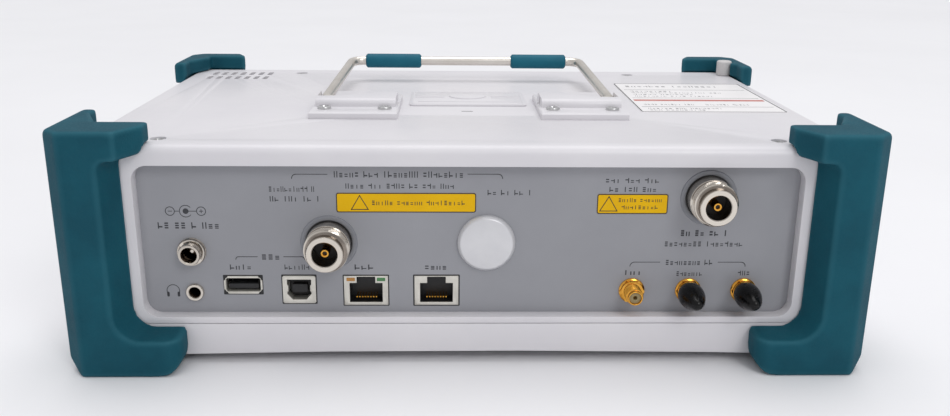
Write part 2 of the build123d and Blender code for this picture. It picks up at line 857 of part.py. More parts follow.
wire_end_x = plate_x - hump_width / 2 + 2.0
bar_y = pivot_y + leg_reach
bar_z = pivot_z + bar_rise
with BuildPart() as stand_bail:
    with BuildLine() as bail_path:
        FilletPolyline(
            (-wire_end_x, pivot_y, pivot_z),
            (-leg_foot_x, pivot_y, pivot_z),
            (-bar_corner_x, bar_y, bar_z),
            (bar_corner_x, bar_y, bar_z),
            (leg_foot_x, pivot_y, pivot_z),
            (wire_end_x, pivot_y, pivot_z),
            radius=[foot_bend, bar_bend, bar_bend, foot_bend],
        )
    with BuildSketch(Plane(origin=(-wire_end_x, pivot_y, pivot_z), z_dir=(-1, 0, 0))):
        Circle(wire_radius)
    sweep()
save(stand_bail, "stand_bail")
wire_length = sum(edge.length for edge in bail_path.edges())
print("bail volume", stand_bail.part.volume, "expected", math.pi * wire_radius**2 * wire_length)

for side, side_name in ((-1, "left"), (1, "right")):
    with BuildPart() as sleeve:
        with BuildSketch(Plane.YZ.offset(side * sleeve_x - sleeve_length / 2)):
            with Locations((bar_y, bar_z)):
                Circle(sleeve_radius)
        extrude(amount=sleeve_length)
        chamfer(sleeve.edges().filter_by(GeomType.CIRCLE), 0.8)
        with BuildSketch(Plane.YZ.offset(side * sleeve_x - sleeve_length / 2 - overrun)):
            with Locations((bar_y, bar_z)):
                Circle(wire_radius + sleeve_bore_gap)
        extrude(amount=sleeve_length + 2 * overrun, mode=Mode.SUBTRACT)
    save(sleeve, "bail_sleeve_" + side_name)

# ================================================================== screws of the case and the stand
with BuildPart() as case_screws:
    with BuildSketch(Plane.XY.offset(case_top - 0.4)):
        with Locations(*cover_screw_points):
            Circle(screw_head_radius)
    extrude(amount=-(screw_head_height - 0.4))
    with BuildSketch(Plane.XY.offset(case_top - 1.0)):
        with Locations(*cover_screw_points):
            Circle(screw_radius)
    extrude(amount=-(case_top - boss_floor_z + 8.0))
    with BuildSketch(Plane.XY.offset(case_top + plate_thickness)):
        with Locations(*plate_screw_points):
            Circle(screw_head_radius)
    extrude(amount=1.0)
    with BuildSketch(Plane.XY.offset(case_top + plate_thickness + 0.5)):
        with Locations(*plate_screw_points):
            Circle(screw_radius)
    extrude(amount=-(plate_thickness + cover_wall + 2.0))
save(case_screws, "case_screws")

# ================================================================== badge plate, rating label and stylus
with BuildPart() as badge_plate:
    with BuildSketch(Plane.XY.offset(case_top)):
        with Locations((0, badge_y)):
            RectangleRounded(*badge_size, 2.0)
    extrude(amount=badge_thickness)
    with BuildSketch(Plane.XY.offset(case_top + badge_thickness)):
        with Locations((0, badge_oval_y)):
            Ellipse(*badge_oval)
    extrude(amount=badge_oval_rise)
save(badge_plate, "badge_plate")

with BuildPart() as rating_label:
    with BuildSketch(Plane.XY.offset(case_top)):
        with Locations(label_at):
            RectangleRounded(*label_size, 1.0)
    extrude(amount=label_thickness)
save(rating_label, "rating_label")

with BuildPart() as stylus:
    with BuildSketch(Plane.XY.offset(case_top + 0.1)):
        with Locations((stylus_x, stylus_y)):
            Circle(stylus_cap_radius)
    extrude(amount=stylus_cap_height)
    chamfer(stylus.faces().sort_by(Axis.Z)[-1].edges(), 0.6)
    with BuildSketch(Plane.XY.offset(case_top + 1.0)):
        with Locations((stylus_x, stylus_y)):
            Circle(stylus_radius)
    extrude(amount=-(stylus_length - 10.0))
    with BuildSketch(Plane.XY.offset(case_top + 1.0 - (stylus_length - 10.0))):
        with Locations((stylus_x, stylus_y)):
            Circle(stylus_radius)
    extrude(amount=-4.5, taper=24)
save(stylus, "stylus")

# ================================================================== battery, tray and door
with BuildPart() as battery_door:
    with BuildSketch(facing_front(case_rear)):
        with Locations((0, door_z)):
            RectangleRounded(door_width, door_height, 2.0)
    extrude(amount=door_thickness)
    # finger scoop on the outside
    with BuildSketch(facing_front(case_rear)):
        with Locations((0, door_z)):
            SlotOverall(*door_scoop)
    extrude(amount=door_scoop_depth, mode=Mode.SUBTRACT)
save(battery_door, "battery_door")

battery_rear = inner_rear - 0.5
with BuildPart() as battery_pack:
    with BuildSketch(facing_front(battery_rear)):
        with Locations((0, door_z)):
            RectangleRounded(battery[0], battery[2], 1.5)
    extrude(amount=battery[1])
save(battery_pack, "battery_pack")

tray_front = battery_rear - battery[1] - battery_gap
with BuildPart() as battery_tray:
    with BuildSketch(facing_front(inner_rear)):
        with Locations((0, (battery_z - battery_gap - tray_wall + ceiling_z) / 2)):
            Rectangle(
                battery[0] + 2 * (battery_gap + tray_wall),
                ceiling_z - (battery_z - battery_gap - tray_wall),
            )
        with Locations((0, (battery_z - battery_gap + ceiling_z + overrun) / 2)):
            Rectangle(
                battery[0] + 2 * battery_gap,
                ceiling_z + overrun - (battery_z - battery_gap),
                mode=Mode.SUBTRACT,
            )
    extrude(amount=inner_rear - tray_front)
save(battery_tray, "battery_tray")

# ================================================================== boards and radio box
with BuildPart() as main_board:
    with BuildSketch(Plane.XY.offset(main_board_z)):
        with Locations((0, (main_board_front + main_board_rear) / 2)):
            Rectangle(main_board_width, main_board_rear - main_board_front)
    extrude(amount=board_thickness)
    # processor, memory and power parts in a few low blocks on top
    with BuildSketch(Plane.XY.offset(main_board_z + board_thickness)):
        with Locations((-20, 10)):
            Rectangle(35, 35)
        with Locations((30, 12)):
            Rectangle(24, 14)
        with Locations((-72, 20)):
            Rectangle(18, 26)
        with Locations((72, 20)):
            Rectangle(26, 22)
    extrude(amount=4.0)
save(main_board, "main_board")

with BuildPart() as rf_module_box:
    with BuildSketch(Plane.XY.offset(rf_box_z)):
        with Locations(rf_box_at):
            Rectangle(rf_box[0], rf_box[1])
    extrude(amount=rf_box[2])
    with BuildSketch(Plane.XY.offset(rf_box_z + rf_box_wall)):
        with Locations(rf_box_at):
            Rectangle(rf_box[0] - 2 * rf_box_wall, rf_box[1] - 2 * rf_box_wall)
    extrude(amount=rf_box[2], mode=Mode.SUBTRACT)
    # standing feet on the main board
    with BuildSketch(Plane.XY.offset(main_board_z + board_thickness)):
        with Locations(rf_box_at):
            with GridLocations(rf_box[0] - 12.0, rf_box[1] - 12.0, 2, 2):
                Circle(2.5)
    extrude(amount=rf_box_z - main_board_z - board_thickness + 0.5)
save(rf_module_box, "rf_module_box")

with BuildPart() as rf_module_lid:
    with BuildSketch(Plane.XY.offset(rf_box_z + rf_box[2])):
        with Locations(rf_box_at):
            Rectangle(rf_box[0], rf_box[1])
    extrude(amount=rf_lid_thickness)
save(rf_module_lid, "rf_module_lid")

# ================================================================== fan
fan_top_z = ceiling_z
fan_bore = fan_size / 2 - fan_floor
rotor_radius = fan_bore - fan_gap
with BuildPart() as fan_frame:
    with BuildSketch(Plane.XY.offset(fan_top_z - fan_depth)):
        with Locations(fan_at):
            RectangleRounded(fan_size, fan_size, 2.0)
    extrude(amount=fan_depth)
    with BuildSketch(Plane.XY.offset(fan_top_z - fan_depth + fan_floor)):
        with Locations(fan_at):
            Circle(fan_bore)
    extrude(amount=fan_depth, mode=Mode.SUBTRACT)
    with BuildSketch(Plane.XY.offset(fan_top_z - fan_depth)):
        with Locations(fan_at):
            Circle(fan_bore)
            Circle(fan_hub_radius + 0.5, mode=Mode.SUBTRACT)
            with PolarLocations(0, 3):
                Rectangle(2 * fan_bore, fan_spoke, mode=Mode.SUBTRACT)
    extrude(amount=fan_floor, mode=Mode.SUBTRACT)
save(fan_frame, "fan_frame")

with BuildPart() as fan_rotor:
    with BuildSketch(Plane.XY.offset(fan_top_z - fan_depth + 1.6)):
        with Locations(fan_at):
            Circle(fan_hub_radius)
    extrude(amount=fan_depth - 2.2)
    with BuildSketch(Plane.XY.offset(fan_top_z - fan_depth + 3.0)):
        with Locations(fan_at):
            with PolarLocations(rotor_radius / 2 + 2.8, fan_blades):
                Rectangle(rotor_radius - 5.7, fan_blade_thickness)
    extrude(amount=fan_depth - 4.4)
save(fan_rotor, "fan_rotor")

# ================================================================== display, keypad and knob
with BuildPart() as display_window:
    with BuildSketch(Plane.XY.offset(face_z)):
        with Locations((display_x, display_y)):
            RectangleRounded(window_width, window_height, 3.0 - window_gap)
    extrude(amount=window_thickness)
save(display_window, "display_window")

with BuildPart() as display_module:
    with BuildSketch(Plane.XY.offset(face_inner_z + 0.2)):
        with Locations((display_x, display_y)):
            Rectangle(display_width, display_height)
    extrude(amount=display_depth)
save(display_module, "display_module")

keypad_z = face_inner_z + key_stem + key_travel + 0.2
keypad_left = display_x + display_width / 2 + 3.0
with BuildPart() as keypad_board:
    with BuildSketch(Plane.XY.offset(keypad_z)):
        with Locations(((keypad_left + 132.0) / 2, 0)):
            Rectangle(132.0 - keypad_left, 134.0)
        with Locations(speaker_at):
            Circle(speaker_radius + 0.6, mode=Mode.SUBTRACT)
        with Locations(knob_at):
            Circle(knob_shaft_radius + 1.0, mode=Mode.SUBTRACT)
        with Locations(*cover_screw_points):
            Circle(boss_radius + 0.6, mode=Mode.SUBTRACT)
    extrude(amount=1.2)
    # the knob's encoder, soldered under the board
    with BuildSketch(Plane.XY.offset(face_inner_z + 0.1)):
        with Locations(knob_at):
            Rectangle(13.0, 13.0)
            Circle(knob_shaft_radius + 0.1, mode=Mode.SUBTRACT)
    extrude(amount=keypad_z - face_inner_z)
save(keypad_board, "keypad_board")

with BuildPart() as rotary_knob:
    with BuildSketch(Plane.XY.offset(face_z - 0.3)):
        with Locations(knob_at):
            Circle(knob_radius)
    extrude(amount=-knob_height)
    chamfer(rotary_knob.faces().sort_by(Axis.Z)[0].edges(), 0.8)
    # finger dimple
    with BuildSketch(Plane.XY.offset(face_z - 0.3 - knob_height)):
        with Locations((knob_at[0] + 9.5, knob_at[1])):
            Circle(3.2)
    extrude(amount=1.0, mode=Mode.SUBTRACT)
    with BuildSketch(Plane.XY.offset(face_z - 0.5)):
        with Locations(knob_at):
            Circle(knob_shaft_radius)
    extrude(amount=keypad_z - face_z)
save(rotary_knob, "rotary_knob")

with BuildPart() as speaker:
    with BuildSketch(Plane.XY.offset(face_inner_z + 0.2)):
        with Locations(speaker_at):
            Circle(speaker_radius)
    extrude(amount=speaker_height)
save(speaker, "speaker")


def key(name, centre, size):
    """A moulded key: its cap shows through the face and its flange keeps it in."""
    with BuildPart() as piece:
        with BuildSketch(Plane.XY.offset(face_z - key_proud)):
            with Locations(centre):
                RectangleRounded(*size, 1.2)
        extrude(amount=key_proud + face_thickness + key_stem)
        chamfer(piece.faces().sort_by(Axis.Z)[0].edges(), 0.4)
        with BuildSketch(Plane.XY.offset(face_inner_z + 0.1)):
            with Locations(centre):
                Rectangle(size[0] + 2.4, size[1] + 2.4)
        extrude(amount=key_flange)
    save(piece, name)


# the pad reads with the connectors at the top, so its first row is the one furthest from them
number_names = ["0", "point", "sign", "1", "2", "3", "4", "5", "6", "7", "8", "9"]
for centre, number_name in zip(key_centres, number_names):
    key("key_" + number_name, centre, number_key)
for index, centre in enumerate(soft_centres):
    key("soft_key_" + str(index + 1), centre, soft_key)

with BuildPart() as power_button:
    with BuildSketch(Plane.XY.offset(face_z - key_proud)):
        with Locations(power_at):
            Circle(power_radius)
    extrude(amount=key_proud + face_thickness + key_stem)
    with BuildSketch(Plane.XY.offset(face_inner_z + 0.1)):
        with Locations(power_at):
            Circle(power_radius + 1.2)
    extrude(amount=key_flange)
save(power_button, "power_button")
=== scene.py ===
import json
import math
import random

import bmesh
import bpy
from mathutils import Matrix, Vector


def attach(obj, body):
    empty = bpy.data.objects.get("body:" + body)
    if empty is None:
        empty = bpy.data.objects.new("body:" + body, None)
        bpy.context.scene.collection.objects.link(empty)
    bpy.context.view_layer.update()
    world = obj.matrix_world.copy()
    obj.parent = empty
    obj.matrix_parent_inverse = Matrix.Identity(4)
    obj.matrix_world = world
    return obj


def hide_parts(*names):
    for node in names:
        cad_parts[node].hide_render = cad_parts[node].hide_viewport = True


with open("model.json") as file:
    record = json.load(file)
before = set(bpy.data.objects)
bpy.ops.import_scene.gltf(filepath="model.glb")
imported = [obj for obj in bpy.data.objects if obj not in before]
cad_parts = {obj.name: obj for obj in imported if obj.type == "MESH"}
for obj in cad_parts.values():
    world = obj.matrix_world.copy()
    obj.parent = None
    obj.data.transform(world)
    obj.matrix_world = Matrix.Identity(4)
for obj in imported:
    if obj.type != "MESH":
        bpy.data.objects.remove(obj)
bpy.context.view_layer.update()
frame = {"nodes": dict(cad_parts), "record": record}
cad = frame["nodes"]
scene = bpy.context.scene

# All sizes below are in millimetres and become metres at the last step.
MM = 0.001
PANEL_Y = -82.2
CASE_TOP = 82.6
FACE_Z = 6.5
INK_RISE = 0.03


# ---------------------------------------------------------------- materials
def linear(hex_colour):
    """An sRGB hex colour as the linear RGBA that shaders read."""
    parts = [int(hex_colour[i : i + 2], 16) / 255 for i in (1, 3, 5)]
    return tuple(p / 12.92 if p <= 0.04045 else ((p + 0.055) / 1.055) ** 2.4 for p in parts) + (1.0,)


def add_node(tree, kind, inputs=None, **settings):
    """Adds one node. Its inputs are plain values, or sockets and nodes to link from."""
    made = tree.nodes.new(kind)
    for name, value in settings.items():
        setattr(made, name, value)
    for name, value in (inputs or {}).items():
        if isinstance(value, bpy.types.Node):
            value = value.outputs[0]
        if isinstance(value, bpy.types.NodeSocket):
            tree.links.new(value, made.inputs[name])
        else:
            made.inputs[name].default_value = value
    return made


def blank_material(name):
    """A new material with no shader yet, its node tree and its Object coordinates."""
    material = bpy.data.materials.new(name)
    material.use_nodes = True
    tree = material.node_tree
    tree.nodes.clear()
    place = add_node(tree, "ShaderNodeTexCoord").outputs["Object"]
    return material, tree, place


def close_material(tree, colour, roughness, height, relief, **fixed):
    """Ends a material: bump of that relief in mm, one shader and the output."""
    bump = add_node(tree, "ShaderNodeBump", {"Strength": 1.0, "Distance": relief * MM, "Height": height})
    inputs = {"Base Color": colour, "Roughness": roughness, "Normal": bump}
    inputs.update({name.replace("_", " "): value for name, value in fixed.items()})
    shader = add_node(tree, "ShaderNodeBsdfPrincipled", inputs)
    add_node(tree, "ShaderNodeOutputMaterial", {"Surface": shader.outputs["BSDF"]})


def skin(
    name, colour, shade, grain, relief, roughness, patch=30.0, spread=0.06, edge_wear_and_highlight=None, stretch=(1, 1, 1),
    **fixed
):
    """A moulded, painted or plated skin.

    Grain in mm makes its bump and gloss, patches take it from colour to shade, and the edge colour lightens
    sharp edges: wear with painted highlight on rubber, painted highlight on metal.
    Fine grains and tool marks are drawn at 0.25 to 0.4 mm, because smaller ones wouldn't show.
    """
    material, tree, place = blank_material(name)
    run = add_node(tree, "ShaderNodeMapping", {"Vector": place, "Scale": stretch})
    fine = add_node(tree, "ShaderNodeTexNoise", {"Vector": run, "Scale": 1 / (grain * MM), "Detail": 2.0})
    broad = add_node(
        tree,
        "ShaderNodeTexNoise",
        {"Vector": place, "Scale": 1 / (patch * MM), "Detail": 4.0, "Roughness": 0.62},
    )
    share = add_node(tree, "ShaderNodeMapRange", {"Value": broad, "From Min": 0.34, "From Max": 0.66})
    tint = add_node(
        tree, "ShaderNodeMix", {0: share, 6: linear(colour), 7: linear(shade)}, data_type="RGBA"
    ).outputs[2]
    # Sharp edges take the edge colour, by pointiness: painted highlight, with real rubbing wear on the
    # rubber.
    if edge_wear_and_highlight:
        edge = add_node(tree, "ShaderNodeNewGeometry").outputs["Pointiness"]
        lit_and_rubbed_edge = add_node(
            tree, "ShaderNodeMapRange", {"Value": edge, "From Min": 0.505, "From Max": 0.56, "To Max": 0.8}
        )
        tint = add_node(
            tree, "ShaderNodeMix", {0: lit_and_rubbed_edge, 6: tint, 7: linear(edge_wear_and_highlight)}, data_type="RGBA"
        ).outputs[2]
    gloss = add_node(
        tree,
        "ShaderNodeMapRange",
        {
            "Value": fine,
            "From Min": 0.3,
            "From Max": 0.7,
            "To Min": roughness - spread,
            "To Max": roughness + spread,
        },
    )
    close_material(tree, tint, gloss, fine, relief, **fixed)
    return material


finish = {}

# ABS, injection moulded with a fine spark-eroded grain: soft, even sheen.
finish["cover_plastic"] = skin("abs_cover_moulded", "#DAD8DB", "#D4D2D6", 0.55, 0.015, 0.36, patch=60.0)
# Aluminium sheet with satin grey paint: faint orange peel under a low gloss.
finish["panel_paint"] = skin("satin_grey_paint", "#95969B", "#8F9095", 0.9, 0.012, 0.42, patch=50.0)
# The turned rings behind the large sockets: the panel's grey, made a shade darker.
finish["ring_paint"] = skin("ring_darker_grey", "#85878D", "#7E8086", 0.8, 0.012, 0.45)
# Thermoplastic elastomer, moulded matte: no mirror light. Its sharp edges are lighter, partly chalky wear
# where it is rubbed, partly painted highlight.
finish["bumper_rubber"] = skin(
    "teal_elastomer_worn_and_highlit", "#0A4655", "#0F505F", 0.7, 0.05, 0.66, patch=18.0, edge_wear_and_highlight="#2F6674",
    Specular_IOR_Level=0.18
)
# The stand's grip sleeves, the same elastomer in a purer teal and smoother.
finish["sleeve_rubber"] = skin(
    "teal_elastomer_sleeve", "#0C5B70", "#126377", 0.5, 0.03, 0.55, patch=12.0, Specular_IOR_Level=0.25
)
# Nickel plate over turned brass: bright, with fine rings from the tool, and a painted highlight lightening
# its sharp edges and thread crests.
finish["nickel"] = skin(
    "nickel_plate_painted_highlight", "#978E85", "#81786F", 0.25, 0.006, 0.16, patch=5.0, edge_wear_and_highlight="#E2DBD0",
    stretch=(1, 6, 1), Metallic=1.0
)
# Gold plate over brass: warm and smooth.
finish["gold_plate"] = skin("gold_plate", "#E2A94C", "#D3973B", 0.3, 0.004, 0.22, patch=4.0, Metallic=1.0)
# Tinned steel shells: dull silver with faint rolling lines.
finish["shell_steel"] = skin(
    "tinned_steel", "#D9D6CD", "#CBC8BF", 0.3, 0.005, 0.34, patch=6.0, stretch=(1, 1, 5), Metallic=0.75
)
# Aluminium plug, bead blasted and clear anodised: even satin glow.
finish["plug_aluminium"] = skin(
    "anodised_aluminium_satin", "#D8D8DA", "#D0D0D3", 0.3, 0.008, 0.42, patch=14.0, Metallic=0.45
)
# Soft vinyl dust caps, dipped: black and wet looking.
finish["cap_rubber"] = skin(
    "black_vinyl_dipped",
    "#050505",
    "#0A0A0B",
    0.8,
    0.01,
    0.24,
    patch=3.0,
    spread=0.05,
    Specular_IOR_Level=0.25,
)
# Stainless wire, drawn and polished: long fine lines along it.
finish["stainless_wire"] = skin(
    "stainless_wire_drawn", "#E2DDD5", "#D8D2C9", 0.35, 0.004, 0.34, patch=8.0, stretch=(1, 0.2, 1),
    Metallic=1.0
)
# Zinc plated steel screws: bright grey with a cloudy passivation.
finish["screw_steel"] = skin(
    "zinc_plated_steel", "#D2D2D1", "#BEBEBF", 0.25, 0.006, 0.33, patch=1.5, Metallic=1.0
)
# Polyester label film with printing under a clear layer: smooth and a little glossy.
finish["label_film"] = skin("polyester_label_white", "#F0EEEE", "#EAE8E8", 1.2, 0.006, 0.34, patch=40.0)
# The yellow caution film: the same base under a flat process yellow.
finish["yellow_film"] = skin(
    "polyester_label_yellow", "#E6B600", "#DFAE00", 1.2, 0.006, 0.5, patch=20.0, Specular_IOR_Level=0.2
)
# Screen printed ink: dry, slightly broken up at its grain. It also lays painted shade: a dash for a small
# recess in the cover, and the front side of the rating label's frame for the shadow at its edge.
finish["ink"] = skin("dark_grey_ink_and_painted_shade", "#3A3B40", "#333439", 0.35, 0.01, 0.6, patch=6.0)
# The same ink in black on the yellow films: a shade warmer than the panel's.
finish["black_ink"] = skin("screen_ink_black", "#2A2822", "#33302A", 0.35, 0.01, 0.6, patch=6.0)
# The label's red bar, printed thin: a dull brick red with the white film behind it.
finish["red_ink"] = skin("screen_ink_red", "#B9685F", "#C27A70", 0.35, 0.01, 0.55, patch=6.0)
# Stylus: glass-filled plastic with a satin moulded surface.
finish["stylus_plastic"] = skin("satin_grey_plastic", "#C9C7C6", "#BEBCBB", 0.4, 0.02, 0.4, patch=6.0)
# Milled aluminium covers of the inner modules: chromated, with cutter lines.
finish["module_metal"] = skin(
    "milled_aluminium", "#C4C5C7", "#B6B7BA", 0.6, 0.01, 0.38, patch=20.0, stretch=(1, 8, 1), Metallic=0.9
)
# Polyamide for inserts, fan and tray: black with a moulded matte face. The same black also stands for shade:
# sheets in the sockets' cut-outs, and fills in the large sockets' bores and gaps.
finish["black_plastic"] = skin("black_polyamide_and_shade_fill", "#141416", "#1B1B1D", 0.4, 0.02, 0.45, patch=10.0)
# Silicone knob skin: soft dark grey without shine.
finish["knob_rubber"] = skin(
    "grey_silicone_skin", "#3A3B3E", "#414246", 0.5, 0.03, 0.65, patch=8.0, Sheen_Weight=0.1
)
# Hard keys: silicone with a painted light cap, fine grain.
finish["key_plastic"] = skin("light_key_silicone", "#D9D8D5", "#D1D0CD", 0.4, 0.02, 0.5, patch=9.0)
# Soft keys: the same silicone in mid grey, unpainted.
finish["soft_key_plastic"] = skin("grey_key_silicone", "#7E8085", "#77797E", 0.4, 0.02, 0.5, patch=9.0)
# Power button: the same silicone in dark grey, a little glossier.
finish["power_plastic"] = skin("dark_key_silicone", "#4A4C50", "#434549", 0.4, 0.02, 0.48, patch=6.0)
# PTFE inside the coaxial sockets: waxy, painted darker and warmer than its own white: painted shade in the
# sockets' hollows and painted reflection of the gold round it.
finish["ptfe"] = skin("ptfe_with_painted_shade", "#94855F", "#877852", 0.3, 0.01, 0.45, patch=2.0)
# Light pipe of a modular socket: amber epoxy, unlit, wet looking.
finish["amber_light"] = skin("amber_epoxy", "#B07A2E", "#9C6A24", 0.5, 0.01, 0.25, patch=2.0, Coat_Weight=0.4)
# The other light pipe: green epoxy, unlit.
finish["green_light"] = skin("green_epoxy", "#3F7F45", "#356F3C", 0.5, 0.01, 0.25, patch=2.0, Coat_Weight=0.4)


def glass_window():
    """Toughened anti-glare glass over a dark display: black border, grey-blue active area, fine haze."""
    material, tree, place = blank_material("antiglare_display_glass")
    axes = add_node(tree, "ShaderNodeSeparateXYZ", {"Vector": place})
    inside = None
    for axis, centre, half in (("X", -41.0, 79.0), ("Y", 0.0, 49.5)):
        off = add_node(tree, "ShaderNodeMath", {0: axes.outputs[axis], 1: centre * MM}, operation="SUBTRACT")
        off = add_node(tree, "ShaderNodeMath", {0: off}, operation="ABSOLUTE")
        near = add_node(tree, "ShaderNodeMath", {0: off, 1: half * MM}, operation="LESS_THAN")
        inside = near if inside is None else add_node(
            tree, "ShaderNodeMath", {0: inside, 1: near}, operation="MULTIPLY"
        )
    haze = add_node(tree, "ShaderNodeTexNoise", {"Vector": place, "Scale": 1 / (0.25 * MM), "Detail": 2.0})
    colour = add_node(
        tree, "ShaderNodeMix", {0: inside, 6: linear("#08090A"), 7: linear("#23282C")}, data_type="RGBA"
    )
    gloss = add_node(tree, "ShaderNodeMapRange", {"Value": haze, "To Min": 0.1, "To Max": 0.22})
    close_material(tree, colour.outputs[2], gloss, haze, 0.002, Coat_Weight=0.3, Coat_Roughness=0.08)
    return material


def circuit_board():
    """Glass-epoxy board under green solder mask: dark lanes between its tracks, and pale pads."""
    material, tree, place = blank_material("solder_mask_green")
    tracks = add_node(
        tree, "ShaderNodeTexBrick",
        {
            "Vector": place,
            "Scale": 1 / (6.0 * MM),
            "Mortar Size": 0.09,
            "Color1": linear("#11402A"),
            "Color2": linear("#174A31"),
            "Mortar": linear("#0C3020"),
        }
    )
    pads = add_node(tree, "ShaderNodeTexVoronoi", {"Vector": place, "Scale": 1 / (3.5 * MM)})
    dots = add_node(tree, "ShaderNodeMath", {0: pads, 1: 0.16}, operation="LESS_THAN")
    colour = add_node(tree, "ShaderNodeMix", {0: dots, 6: tracks, 7: linear("#B9B4A0")}, data_type="RGBA")
    gloss = add_node(tree, "ShaderNodeMapRange", {"Value": pads, "To Min": 0.25, "To Max": 0.4})
    close_material(tree, colour.outputs[2], gloss, tracks, 0.03)
    return material


finish["window_glass"] = glass_window()
finish["circuit_board"] = circuit_board()


# ---------------------------------------------------------------- mesh helpers
def on_panel(u, v, w):
    """Across, up and out of the connector panel."""
    return Vector((u, PANEL_Y - w, v)) * MM


def on_top(u, v, w):
    """Across, rearwards and up from the back cover."""
    return Vector((u, v, CASE_TOP + w)) * MM


def on_face(u, v, w):
    """Across, up as the keypad reads, and out of the keypad face."""
    return Vector((u, -v, FACE_Z - w)) * MM


def flat(u, v, w):
    """A master mesh's own axes."""
    return Vector((u, v, w)) * MM


def rounded(width, height, radius, centre=(0, 0), steps=5):
    """Corner points of a rounded rectangle, anticlockwise."""
    points = []
    for turn, (sx, sy) in enumerate(((1, 1), (-1, 1), (-1, -1), (1, -1))):
        for step in range(steps + 1):
            angle = math.pi / 2 * (turn + step / steps)
            points.append(
                (
                    centre[0] + sx * (width / 2 - radius) + radius * math.cos(angle),
                    centre[1] + sy * (height / 2 - radius) + radius * math.sin(angle),
                )
            )
    return points


def circle(radius, centre=(0, 0), count=32):
    """Points round a circle, anticlockwise from the right."""
    return [
        (
            centre[0] + radius * math.cos(2 * math.pi * i / count),
            centre[1] + radius * math.sin(2 * math.pi * i / count),
        )
        for i in range(count)
    ]


def wall(shape, low, high, material=0):
    """Faces that join two loops of the same length."""
    for i in range(len(low)):
        j = (i + 1) % len(low)
        shape.faces.new((low[i], low[j], high[j], high[i])).material_index = material


def loop(shape, place, points, w):
    """One vertex for each outline point, at height w."""
    return [shape.verts.new(place(u, v, w)) for u, v in points]


def stack(shape, place, levels, material=0):
    """A solid skinned over outlines of equal length, given as (points, height), and capped at both ends."""
    loops = [loop(shape, place, points, w) for points, w in levels]
    for low, high in zip(loops, loops[1:]):
        wall(shape, low, high, material)
    shape.faces.new(loops[0]).material_index = material
    shape.faces.new(loops[-1]).material_index = material


def plate(shape, place, points, low, high, material=0):
    """A solid prism on an outline, from one height to another."""
    stack(shape, place, [(points, low), (points, high)], material)


def tube(shape, place, outer, inner, low, high, floor=None, material=0):
    """A prism with a hole of another outline, or with a pocket where floor gives its height."""
    out_low, out_high = loop(shape, place, outer, low), loop(shape, place, outer, high)
    in_high = loop(shape, place, inner, high)
    in_low = loop(shape, place, inner, low if floor is None else floor)
    wall(shape, out_low, out_high, material)
    wall(shape, out_high, in_high, material)
    wall(shape, in_high, in_low, material)
    if floor is None:
        wall(shape, in_low, out_low, material)
    else:
        shape.faces.new(in_low).material_index = material
        shape.faces.new(out_low).material_index = material


def ribbon(shape, place, points, width, low=0.0, high=INK_RISE):
    """A printed line through these points, one short bar after another."""
    for (u0, v0), (u1, v1) in zip(points, points[1:]):
        run = math.hypot(u1 - u0, v1 - v0)
        if run < 1e-6:
            continue
        du, dv = (u1 - u0) / run * width / 2, (v1 - v0) / run * width / 2
        outline = [
            (u0 - du + dv, v0 - dv - du),
            (u1 + du + dv, v1 + dv - du),
            (u1 + du - dv, v1 + dv + du),
            (u0 - du - dv, v0 - dv + du),
        ]
        plate(shape, place, outline, low, high)


def arc(centre, radius, start, end, steps=10):
    """Points along an arc, with its angles in degrees."""
    return [
        (
            centre[0] + radius * math.cos(math.radians(start + (end - start) * i / steps)),
            centre[1] + radius * math.sin(math.radians(start + (end - start) * i / steps)),
        )
        for i in range(steps + 1)
    ]


def lathe(shape, at, outline, segments=64, thread=None, place=on_panel, material=0):
    """A solid turned about an axis through at, from (radius, distance out of its surface) points.

    thread gives (major radius, start, end, pitch, depth) of a helical thread on it.
    """
    x, z = at
    rings = []
    for radius, out in outline:
        ring = []
        for i in range(segments if radius > 0 else 1):
            angle = 2 * math.pi * i / segments
            r = radius
            if thread and abs(radius - thread[0]) < 1e-6 and thread[1] <= out <= thread[2]:
                phase = (out / thread[3] - i / segments) % 1.0
                r -= thread[4] * min(1.0, max(0.0, 2.6 * abs(phase - 0.5) - 0.15))
            ring.append(shape.verts.new(place(x + r * math.cos(angle), z + r * math.sin(angle), out)))
        rings.append(ring)
    pairs = list(zip(rings, rings[1:]))
    if len(rings[0]) > 1 and len(rings[-1]) > 1:
        pairs.append((rings[-1], rings[0]))
    for first, second in pairs:
        for i in range(segments):
            j = (i + 1) % segments
            corners = [
                first[i % len(first)], first[j % len(first)], second[j % len(second)], second[i % len(second)]
            ]
            unique = list(dict.fromkeys(corners))
            if len(unique) > 2:
                shape.faces.new(unique).material_index = material


def thread_points(radius, start, end, pitch):
    """Outline points close enough together to carry a thread."""
    count = int((end - start) / pitch * 8)
    return [(radius, start + (end - start) * i / count) for i in range(count + 1)]


def plain_mesh(obj):
    """Replaces an object's mesh with the result of its modifiers, and drops them."""
    bpy.context.view_layer.update()
    graph = bpy.context.evaluated_depsgraph_get()
    mesh = bpy.data.meshes.new_from_object(obj.evaluated_get(graph))
    obj.modifiers.clear()
    obj.data = mesh
    return obj


def piece(name, mesh, materials, body, slot=None, replaces=(), bevel=0.0, sharp=35.0, segments=2):
    """A finished piece on its body: edges rounded by bevel mm, smooth up to the sharp angle in degrees."""
    obj = bpy.data.objects.new(name, mesh)
    scene.collection.objects.link(obj)
    mesh.materials.clear()
    for key in materials:
        mesh.materials.append(finish[key])
    if bevel:
        obj.modifiers.new("edge", "BEVEL")
        edge = obj.modifiers["edge"]
        edge.width = bevel * MM
        edge.segments = segments
        edge.limit_method = "ANGLE"
        edge.angle_limit = math.radians(sharp)
        edge.harden_normals = False
        plain_mesh(obj)
    obj.data.shade_smooth()
    obj.data.set_sharp_from_angle(angle=math.radians(sharp))
    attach(obj, body)
    if replaces:
        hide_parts(*replaces)
    return obj


